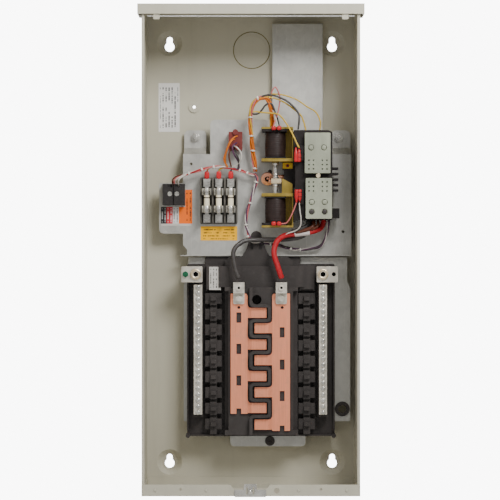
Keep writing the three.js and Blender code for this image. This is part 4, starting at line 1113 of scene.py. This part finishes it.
@dataclass
class Solenoid:
    """The two coils, their chromated frames, the plunger set and the transfer shaft."""

    coat: CadCoat
    x: float = 39.6
    y: float = -68.0
    tilt: float = 22.0
    radius: float = 16.2
    terminal_y: float = -91.0
    socket_at: Point = (27.0, -52.0, 117.0)
    stop_at: Point = (31.0, -38.2, 127.4)

    def build(self) -> None:
        """Dresses the mechanism and wraps the coils."""
        self.coat.dress(SWITCH_BLACK, ["coil_upper", "coil_lower"], 0.3)
        self.coat.dress(CHROMATE, ["coil_frame_upper", "coil_frame_lower"], 0.4)
        self.coat.dress(BRIGHT, ["plunger_rod", "plunger_core"], 0.15)
        self.coat.dress(BRASS, ["plunger_yoke"], 0.3)
        self.coat.dress(LEVER_COPPER, ["transfer_lever"], 0.25)
        self.tape("coil_tape_upper", 150.2, 189.4)
        self.tape("coil_tape_lower", 44.4, 82.8)
        self.terminals()
        self.collars()
        self.socket()

    def tape(self, name: str, low: float, high: float) -> None:
        """A varnished tape wrap: the radius swells by 0.5 sin(pi s) to its middle, with a fine ripple.

        Args:
            name: the piece's name.
            low: its lower end.
            high: its upper end.
        """
        s = np.linspace(0, 1, 24)
        radius = self.radius + 0.5 * np.sin(math.pi * s) + 0.06 * np.sin(40 * s)
        profile = np.stack([radius, low + s * (high - low)], -1)
        Piece(name, [turned(profile, (self.x, self.y, 0), UP, 48)], [COIL_TAPE]).build()

    def terminals(self) -> None:
        """Red terminal covers over the lead ends at the coils' outer flanges."""
        half = (3.7, 5.4, 3.4)
        places = [(self.x + offset, self.terminal_y, z) for z in (195.2, 42.2) for offset in (-3.0, 5.5)]
        Piece("coil_terminals", [pillow(at, half, 3.2) for at in places], [RED_BOOT]).build()

    def collars(self) -> None:
        """A guide bush under the upper frame, and a nut and snap ring that travel with the plunger."""
        bush = [(4.7, 0.0), (6.0, 0.3), (6.2, 5.2), (4.7, 5.5), (4.7, 0.0)]
        nut = [(4.3, 0.0), (6.0, 0.3), (6.0, 2.6), (4.3, 2.9)]
        ring = [(4.3, 0.0), (5.6, 0.3), (5.6, 1.5), (4.3, 1.8)]
        guide = turned(bush, (self.x, self.y, 136.6), UP, 28, hollow=True)
        Piece("guide_bush", [guide], [BRIGHT]).build()
        skins = [
            turned(nut, (self.x, self.y, 120.6), UP, 6),
            turned(ring, (self.x, self.y, 102.6), UP, 28),
        ]
        Piece("plunger_rings", skins, [BRIGHT], Body.PLUNGER).build()

    def socket(self) -> None:
        """A near-black disc as painted shade in the mouth of the handle socket, with its centre pin, and the
        stop screw above the crank.
        """
        tilt = math.radians(self.tilt)
        out = (0.0, -math.cos(tilt), -math.sin(tilt))
        base = tuple(place + 2.4 * part for place, part in zip(self.socket_at, out))
        # the mouth disc is painted shade inside the socket
        mouth = [(4.6, 0.0), (4.6, 0.5), (1.0, 0.55)]
        pin = [(2.1, 0.0), (2.1, 2.2), (1.3, 2.8), (0.4, 3.0)]
        skins = [turned(mouth, base, out), turned(pin, base, out, 16, 1)]
        Piece("socket_mouth", skins, [PAINTED_HOLE_SHADE, LEVER_COPPER], Body.SHAFT).build()
        stop = [(3.2, 0.0), (3.2, 3.6), (2.4, 4.4), (0.8, 4.7)]
        Piece("stop_screw", [turned(stop, self.stop_at, FRONT, 18)], [BLACK]).build()


@dataclass
class ContactBlock:
    """The moulded contact housing with its vented covers, limit switches and position label."""

    coat: CadCoat
    boot_y: float = -101.6
    boot_places: tuple[float, ...] = (71.9, 77.0)
    head_pitch: float = 20.6

    def build(self) -> None:
        """Dresses the block and adds its small parts."""
        self.coat.dress(SWITCH_BLACK, ["switch_housing", "limit_switch_upper", "limit_switch_lower"], 0.5)
        self.coat.dress(GREY, ["contact_cover_upper", "contact_cover_lower"], 0.6)
        self.coat.dress(BRASS, ["cover_screw"], 0.3)
        dot = LabelPrint("position_label", (0.82, 0.50, 0.02), 0.34, style=Print.DOT,
                         ink=(0.03, 0.02, 0.02), lines=4.0, band=(0.45, 0.02, 0.01))
        Label(dot, 51.4, 67.4, 131.4, 141.0, -61.5, 0.05, 0.4).build()
        self.boots()
        self.screws()

    def boots(self) -> None:
        """Red push-on boots over the limit switches' blades, drawn out towards the leads."""
        skins = []
        for x in self.boot_places:
            skins.append(boot((x, self.boot_y, 152.0), (3.1, 3.4, 11.6), 1))
            skins.append(boot((x + 0.9, self.boot_y, 86.0), (3.1, 3.4, 10.6), -1))
        Piece("limit_boots", skins, [RED_BOOT]).build()

    def screws(self) -> None:
        """Domed heads in the covers' counterbores, two to a row."""
        dome = [(3.9, 0.0), (3.8, 0.7), (2.8, 1.3), (1.0, 1.6)]
        rows = [(96.1, -103.4, 163.5, 0), (97.1, -103.4, 76.4, 0), (97.1, -103.2, 61.1, 1)]
        skins = []
        for x, y, z, slot in rows:
            for place in (x, x + self.head_pitch):
                skins.append(turned(dome, (place, y, z), FRONT, 20, slot))
        Piece("cover_heads", skins, [GREY, BLACK]).build()


@dataclass
class Lead:
    """One loose wire of the control wiring, held at both ends. Its sizes are in millimetres."""

    finish: Finish
    radius: float
    route: list[Point]


@dataclass
class Loom:
    """A laced bundle of wires along one route, with each wire's radius, the lay in turns and a seed."""

    name: str
    route: list[Point]
    wire: float
    finishes: list[Finish]
    turns: float
    seed: int
    rings: int = 84
    node: str = ""

    def build(self) -> None:
        """Builds the loom, in place of its CAD cord where it has one."""
        slots = list(range(len(self.finishes)))
        skins = bundle(self.route, self.wire, slots, self.turns, self.rings, self.seed)
        piece = Piece(self.name, skins, self.finishes)
        if self.node:
            piece.build([self.node], "wire_loom")
        else:
            piece.build()


@dataclass
class Wiring:
    """The laced looms, their ties, and the single leads between the control parts."""

    def build(self) -> None:
        """Builds the four looms, the ties and the leads."""
        orange = [
            (34, -62, 199), (33, -72, 226), (26, -78, 243), (13, -80, 243), (2.5, -78, 231),
            (-1, -72, 212), (-0.5, -66, 196), (1.5, -62, 178), (3, -58, 160), (5.5, -56, 142), (7, -54, 127),
        ]
        wires = [CORD_ORANGE, CORD_ORANGE, CORD_YELLOW, CORD_PINK, CORD_ORANGE]
        Loom("orange_loom", orange, 1.35, wires, 1.6, 3, node="harness_orange").build()
        red = [
            (-124, -55, 108), (-122, -60, 114), (-110, -60, 120), (-91, -60, 126.5), (-62, -58, 134),
            (-42, -56, 134), (-18, -54, 129), (-5, -54, 124), (6, -54, 120.5),
        ]
        wires = [CORD_RED, CORD_WHITE, CORD_PINK]
        Loom("red_loom", red, 1.15, wires, 2.4, 5, node="harness_red").build()
        purple = [
            (6, -54, 124), (10, -54, 116), (5, -54, 98), (0, -54, 80),
            (-6, -54, 62), (-8, -54, 44), (-5, -56, 30), (-2, -60, 19),
        ]
        wires = [CORD_PURPLE, CORD_WHITE, CORD_PURPLE, CORD_PINK]
        Loom("purple_loom", purple, 1.1, wires, 2.0, 7, node="harness_purple").build()
        lower = [
            (126, -58, 60), (125, -57, 38), (119, -52, 15), (108, -50, 4.5), (80, -48, 0.6),
            (64.9, -48, 2.2), (43, -48, 8), (20, -50, 12), (2, -54, 14), (-5, -55, 25),
        ]
        wires = [CORD_PURPLE, CORD_BLACK, CORD_PURPLE, CORD_WHITE]
        Loom("lower_loom", lower, 1.0, wires, 3.0, 9, rings=96).build()
        self.ties()
        self.leads()

    @staticmethod
    def ties() -> None:
        """Nylon lacing ties: a band round the loom and a small knot at its front."""
        places = [
            ((11, -79.5, 243.5), (1.0, 0, 0.25), 3.9),
            ((-1.0, -73, 213.5), UP, 3.9),
            ((0.6, -63.5, 184), UP, 3.9),
            ((3.2, -58, 160.5), (0.1, 0, 1), 3.9),
            ((6.6, -54.5, 132), (0.2, 0, 1), 3.9),
            ((-100, -60, 123.5), (1, 0, 0.3), 3.2),
            ((-79, -59, 130), (1, 0, 0.3), 3.2),
            ((-60, -58, 134), (1, 0, 0.1), 3.2),
            ((-18, -54, 129), (1, 0, -0.3), 3.2),
            ((-6, -54, 124.5), (1, 0, -0.4), 3.2),
            ((8.6, -54, 110), (0.3, 0, 1), 3.4),
            ((-1.2, -54, 76), (0.3, 0, 1), 3.4),
            ((-8, -54.4, 41), (-0.1, 0, 1), 3.4),
            ((80, -48, 0.6), (1, 0, 0), 3.0),
            ((64.9, -48, 2.2), (1, 0, -0.2), 3.0),
            ((32, -49, 10.2), (1, 0, -0.2), 3.0),
            ((-4.4, -56, 22), (-0.3, 0, 1), 4.0),
        ]
        skins = []
        for (x, y, z), axis, r in places:
            band = [(r - 0.3, -1.0), (r + 0.35, -0.9), (r + 0.35, 0.9), (r - 0.3, 1.0)]
            skins.append(turned(band, (x, y, z), axis, 20))
            skins.append(pillow((x, y - r - 0.9, z), (1.9, 1.2, 1.7), 2.6, taper=0.2, count=10))
        Piece("loom_ties", skins, [TIE_WHITE]).build()

    @staticmethod
    def leads() -> None:
        """The leads that leave the looms one by one."""
        leads = [
            Lead(CORD_BLACK, 1.5, [
                (0.5, -75, 220), (6, -76, 218.5), (12, -76, 219.5), (16.8, -78, 224),
                (23.3, -78, 232.6), (30, -77, 236), (34.8, -76, 233), (40, -76, 219), (44, -80, 206),
                (45.1, -88, 197.5),
            ]),
            Lead(CORD_BLACK, 1.6, [
                (14, -80, 245), (23.3, -82, 248), (33, -82, 249), (46, -82, 245), (58, -82, 239),
                (69.5, -82, 229), (76.8, -84, 218), (77.4, -86, 208), (75.8, -86, 193),
            ]),
            Lead(CORD_YELLOW, 1.3, [
                (12, -80, 243), (20, -81, 246), (33, -80, 245), (46, -79, 241), (59, -78, 234),
                (71, -77, 225), (80.8, -76, 216), (85.6, -76, 204), (89.8, -76, 186),
            ]),
            Lead(CORD_YELLOW, 1.2, [
                (24, -79, 244), (33, -76, 250.5), (49.4, -74, 250), (62.7, -72, 246.6), (76, -71, 241),
                (90.5, -70, 231), (104, -70, 222.8), (111.2, -70, 209.6), (112, -69, 201),
                (109.5, -68, 186),
            ]),
            Lead(CORD_YELLOW, 1.3, [
                (1, -75.5, 222), (10, -77, 222.5), (20, -78, 221), (36.4, -80, 219.5),
                (46.2, -86, 216), (57.6, -94, 201), (65.8, -100, 186.5), (74, -104, 168.5),
                (77, -105, 163),
            ]),
            Lead(CORD_PINK, 1.1, [
                (29, -77, 239), (32.6, -76, 247), (33.5, -76, 254), (39.4, -77, 262), (46.5, -77, 247),
                (45.5, -76, 232), (43, -77, 219), (38.5, -81, 206), (36, -88, 198),
            ]),
            Lead(CORD_WHITE, 1.0, [(33, -72, 227), (38, -76, 220), (41, -81, 208), (43.5, -88, 198)]),
            Lead(CORD_ORANGE, 1.3, [
                (-20, -65, 184), (-26, -72, 182), (-34.2, -72, 173.5), (-40, -68, 158.8),
                (-43.3, -62, 145.6), (-37.5, -58, 134.2),
            ]),
            Lead(CORD_ORANGE, 1.2, [
                (-24, -65, 180), (-31, -73, 176), (-37, -72, 165), (-41, -64, 150), (-40, -57, 134.6),
            ]),
            Lead(CORD_WHITE, 1.2, [
                (-31, -65, 169), (-22.9, -74, 165.4), (-16.3, -73, 157.2), (-15.5, -70, 147.2),
                (-21, -62, 139), (-32.7, -56, 133),
            ]),
            Lead(CORD_PURPLE, 1.3, [
                (-20.3, -65, 175), (-29.3, -74, 167), (-27.7, -72, 155.5), (-20.3, -62, 142.5),
                (-19, -55, 130),
            ]),
            Lead(CORD_BROWN, 1.3, [
                (-31, -65, 168), (-35, -73, 155), (-34.4, -66, 145), (-31, -55.5, 132.5),
            ]),
            Lead(CORD_BLACK, 1.4, [(-28, -65, 168), (-22, -72, 152), (-19.5, -66, 144), (-21, -56, 131)]),
            Lead(CORD_PINK, 1.1, [
                (73, -101.6, 77), (70, -100, 68), (64, -98, 54), (57, -95, 43.5), (48, -93, 42),
            ]),
            Lead(CORD_WHITE, 1.0, [
                (77.4, -101.6, 77), (78, -99, 66), (80, -97, 50), (79, -92, 38), (72, -86, 31),
                (60, -80, 27), (53, -74.5, 22.7),
            ]),
            Lead(CORD_BROWN, 1.2, [
                (-126, -51, 103), (-126.5, -60, 113), (-122, -61, 118), (-112, -60.5, 121.5),
            ]),
            Lead(CORD_WHITE, 1.2, [
                (-117, -51, 103), (-117, -60, 112), (-113, -61, 117), (-104, -60.5, 122),
            ]),
        ]
        finishes = list(dict.fromkeys(lead.finish for lead in leads))
        skins = [tube(lead.route, lead.radius, 48, 9, finishes.index(lead.finish)) for lead in leads]
        Piece("control_leads", skins, finishes).build()


@dataclass
class PowerCables:
    """The two heavy cables from the switch to the lugs, and the short leads under the switch."""

    black_radius: float = 3.7
    red_radius: float = 4.4
    marker_from: float = 70.0
    marker_to: float = 94.5

    def build(self) -> None:
        """Builds the cables in place of their CAD cords."""
        black = [
            (95.5, -68, 57), (95.5, -68, 45), (94, -69, 32), (82, -72, 22), (60, -66, 17.5),
            (33, -62, 17), (8, -64, 16.3), (-9, -68, 15), (-19, -72, 9.5), (-25.5, -75, 3),
            (-28.5, -77, -7), (-25, -79, -30), (-19.3, -80, -46),
        ]
        red = [
            (117, -68, 57), (117, -68, 46), (113, -71, 36), (103, -78, 31), (90, -80, 28), (68, -76, 25.5),
            (53, -74, 22.5), (43, -75, 15), (38, -77, 4), (37.5, -79, -8), (43, -80, -26), (49.5, -80, -46),
        ]
        cable = Piece("black_power_cable", [tube(black, self.black_radius, 90, 20)], [CORD_BLACK])
        cable.build(["power_cable_black"], "black_cable")
        cable = Piece("red_power_cable", [tube(red, self.red_radius, 90, 20)], [CORD_RED])
        cable.build(["power_cable_red"], "red_cable")
        self.marker(red)
        self.tails()

    def marker(self, route: list[Point]) -> None:
        """A pale sleeve round the cable between two places along X.

        Args:
            route: the cable's points.
        """
        place, tangent = spread(route, 240)
        under = (place[:, 0] > self.marker_from) & (place[:, 0] < self.marker_to)
        sleeve = LabelPrint("cable_marker", (0.70, 0.62, 0.58), style=Print.PLAIN)
        skin = swept(place[under], tangent[under], self.red_radius + 0.4, 20)
        Piece("cable_marker", [skin], [sleeve]).build()

    @staticmethod
    def tails() -> None:
        """Short heavy leads that tuck under the contact block."""
        first = [(92, -78, 46), (91, -82, 40), (84, -84, 36), (74, -82, 32), (66, -78, 30)]
        second = [(101, -78, 47), (101, -84, 40), (95, -86, 35), (84, -84, 31), (72, -80, 28)]
        third = [(108, -76, 47), (108, -82, 41), (104, -84, 36), (96, -84, 33)]
        skins = [tube(first, 3.0, 30, 12), tube(second, 3.0, 30, 12, 1), tube(third, 2.6, 24, 12, 1)]
        Piece("switch_tails", skins, [CORD_BLACK, CORD_BROWN]).build()


@dataclass
class BreakerInterior:
    """The moulded base with its copper, lugs and neutral bars."""

    coat: CadCoat
    pitch: float = 9.6
    screws: int = 22
    first_row: float = -55.4
    screw_y: float = -70.9
    screw_columns: tuple[tuple[str, float], ...] = (("left", -85.25), ("right", 116.3))
    clamp_columns: tuple[float, ...] = (-88.6, 116)
    lug_columns: tuple[float, ...] = (-19.3, 48.9)
    clamp_z: float = -39.0

    def build(self) -> None:
        """Dresses the interior and adds its small parts."""
        self.coat.dress(BLACK, ["interior_base", "pan_bushing", "base_screw_lower"], 0.5)
        self.coat.dress(COPPER, ["bus_bar_left", "bus_bar_right"], 0.4)
        kinds = ("bus_lug", "neutral_bar", "neutral_lug")
        lugs = [f"{kind}_{side}" for kind in kinds for side in ("left", "right")]
        self.coat.dress(ALUMINIUM, lugs, 0.4)
        self.coat.dress(GREEN, ["ground_screw"], 0.3)
        self.coat.dress(BLACK, ["base_screw_upper"], 0.3)
        mark = LabelPrint("interior_label", OFF_WHITE, style=Print.COLUMNS, lines=4.0)
        Label(mark, -67.4, -48.6, -64.6, -27.2, -57.0).build()
        self.binding_screws()
        self.sockets()

    def sockets(self) -> None:
        """Near-black discs as painted shade in the sockets of the lug screws, and the brassy clamp screws of
        the two end lugs.
        """
        # painted shade: thin near-black discs in the screw sockets
        spots = [(x, -91.1, -60.6, 2.25, 18) for x in self.lug_columns]
        spots += [(x, -77.3, self.clamp_z, 4.2, 6) for x in self.clamp_columns]
        spots.append((133.5, -72.2, self.clamp_z, 3.3, 18))
        skins = [turned([(r, 0.0), (r, 0.3)], (x, y, z), FRONT, sides) for x, y, z, r, sides in spots]
        Piece("screw_socket_shade", skins, [PAINTED_HOLE_SHADE]).build()
        collar = [(8.8, 0.0), (8.8, 3.9), (8.0, 4.6), (5.2, 4.6), (4.8, 4.0), (4.8, 1.6)]
        rings = [turned(collar, (x, -75.7, self.clamp_z), FRONT, 32) for x in self.clamp_columns]
        Piece("end_lug_screws", rings, [BRASS]).build()

    def binding_screws(self) -> None:
        """Slotted binding screws over the neutral bars' threads: a dished dome on a collar."""
        head = [(3.7, 0.0), (3.75, 1.2), (3.3, 1.9), (2.0, 2.05), (0.8, 1.7)]
        rows = self.first_row - (np.arange(self.screws) + 0.5) * self.pitch
        for name, x in self.screw_columns:
            skins = [turned(head, (x, self.screw_y, float(z)), FRONT, 18) for z in rows]
            Piece(f"neutral_screws_{name}", skins, [BRIGHT]).build()


@dataclass
class Studio:
    """Camera, soft lights, a pale floor and a bright surround. Its sizes are in metres."""

    distance: float = 3.36
    middle: float = -0.0014
    lens: float = 147.0
    sensor: float = 36.0
    floor: float = -0.62
    ambient: float = 0.42
    backdrop: float = 9.0
    edge: tuple[float, float] = (0.90, 0.975)

    def build(self) -> None:
        """Sets the stage."""
        scene = bpy.context.scene
        camera = bpy.data.objects.new("camera", bpy.data.cameras.new("camera"))
        camera.data.lens = self.lens
        camera.data.sensor_width = self.sensor
        camera.location = (self.middle, -self.distance, 0.0)
        camera.rotation_euler = (math.radians(90), 0, 0)
        scene.collection.objects.link(camera)
        scene.camera = camera
        self.floor_plane()
        self.lamp("key", (0.50, -1.15, 0.90), 0.5, 23)
        self.lamp("fill", (-1.6, -2.4, 1.2), 1.6, 12)
        self.surround(scene)

    def surround(self, scene: bpy.types.Scene) -> None:
        """A dim surround with a bright backdrop: strength rises from ambient to backdrop towards +Y.

        Args:
            scene: the scene that gets it.
        """
        world = bpy.data.worlds.new("surround")
        world.use_nodes = True
        tree = world.node_tree
        sky = tree.nodes["Background"]
        sky.inputs[0].default_value = (1, 1, 1, 1)
        place = tree.nodes.new("ShaderNodeTexCoord")
        parts = tree.nodes.new("ShaderNodeSeparateXYZ")
        ramp = tree.nodes.new("ShaderNodeMapRange")
        ramp.interpolation_type = "SMOOTHSTEP"
        for socket, value in enumerate((*self.edge, self.ambient, self.backdrop), 1):
            ramp.inputs[socket].default_value = value
        tree.links.new(place.outputs["Generated"], parts.inputs[0])
        tree.links.new(parts.outputs["Y"], ramp.inputs[0])
        tree.links.new(ramp.outputs[0], sky.inputs[1])
        scene.world = world

    def floor_plane(self) -> None:
        """A pale floor, which isn't part of the object."""
        corners = ((-2.5, -3.0), (2.5, -3.0), (2.5, 0.9), (-2.5, 0.9))
        mesh = bpy.data.meshes.new("floor")
        mesh.from_pydata([(x, y, self.floor) for x, y in corners], [], [(0, 1, 2, 3)])
        graph = Graph("floor_paper")
        base = graph.mix(graph.noise(3, 2, 0.5), (0.80, 0.80, 0.79), (0.84, 0.84, 0.83))
        mesh.materials.append(graph.close(Base_Color=base, Roughness=0.8))
        ground = bpy.data.objects.new("floor", mesh)
        bpy.context.scene.collection.objects.link(ground)

    @staticmethod
    def lamp(name: str, at: Point, size: float, watts: float) -> None:
        """Adds a square area light aimed at the middle of the object.

        Args:
            name: the light's name.
            at: where it stands, in metres.
            size: the length of its side.
            watts: its power.
        """
        light = bpy.data.lights.new(name, "AREA")
        light.size = size
        light.energy = watts
        holder = bpy.data.objects.new(name, light)
        holder.location = at
        aim = Vector((0, -0.05, 0)) - Vector(at)
        holder.rotation_euler = aim.to_track_quat("-Z", "Y").to_euler()
        bpy.context.scene.collection.objects.link(holder)


def main() -> None:
    """Builds every sub-assembly in order, then the stage."""
    logging.basicConfig(level=logging.INFO, format="%(message)s")
    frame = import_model()
    coat = CadCoat(frame["nodes"])
    Enclosure(coat).build()
    ControlStation(coat).build()
    Solenoid(coat).build()
    ContactBlock(coat).build()
    Wiring().build()
    PowerCables().build()
    BreakerInterior(coat).build()
    Studio().build()


if __name__ == "__main__":
    main()
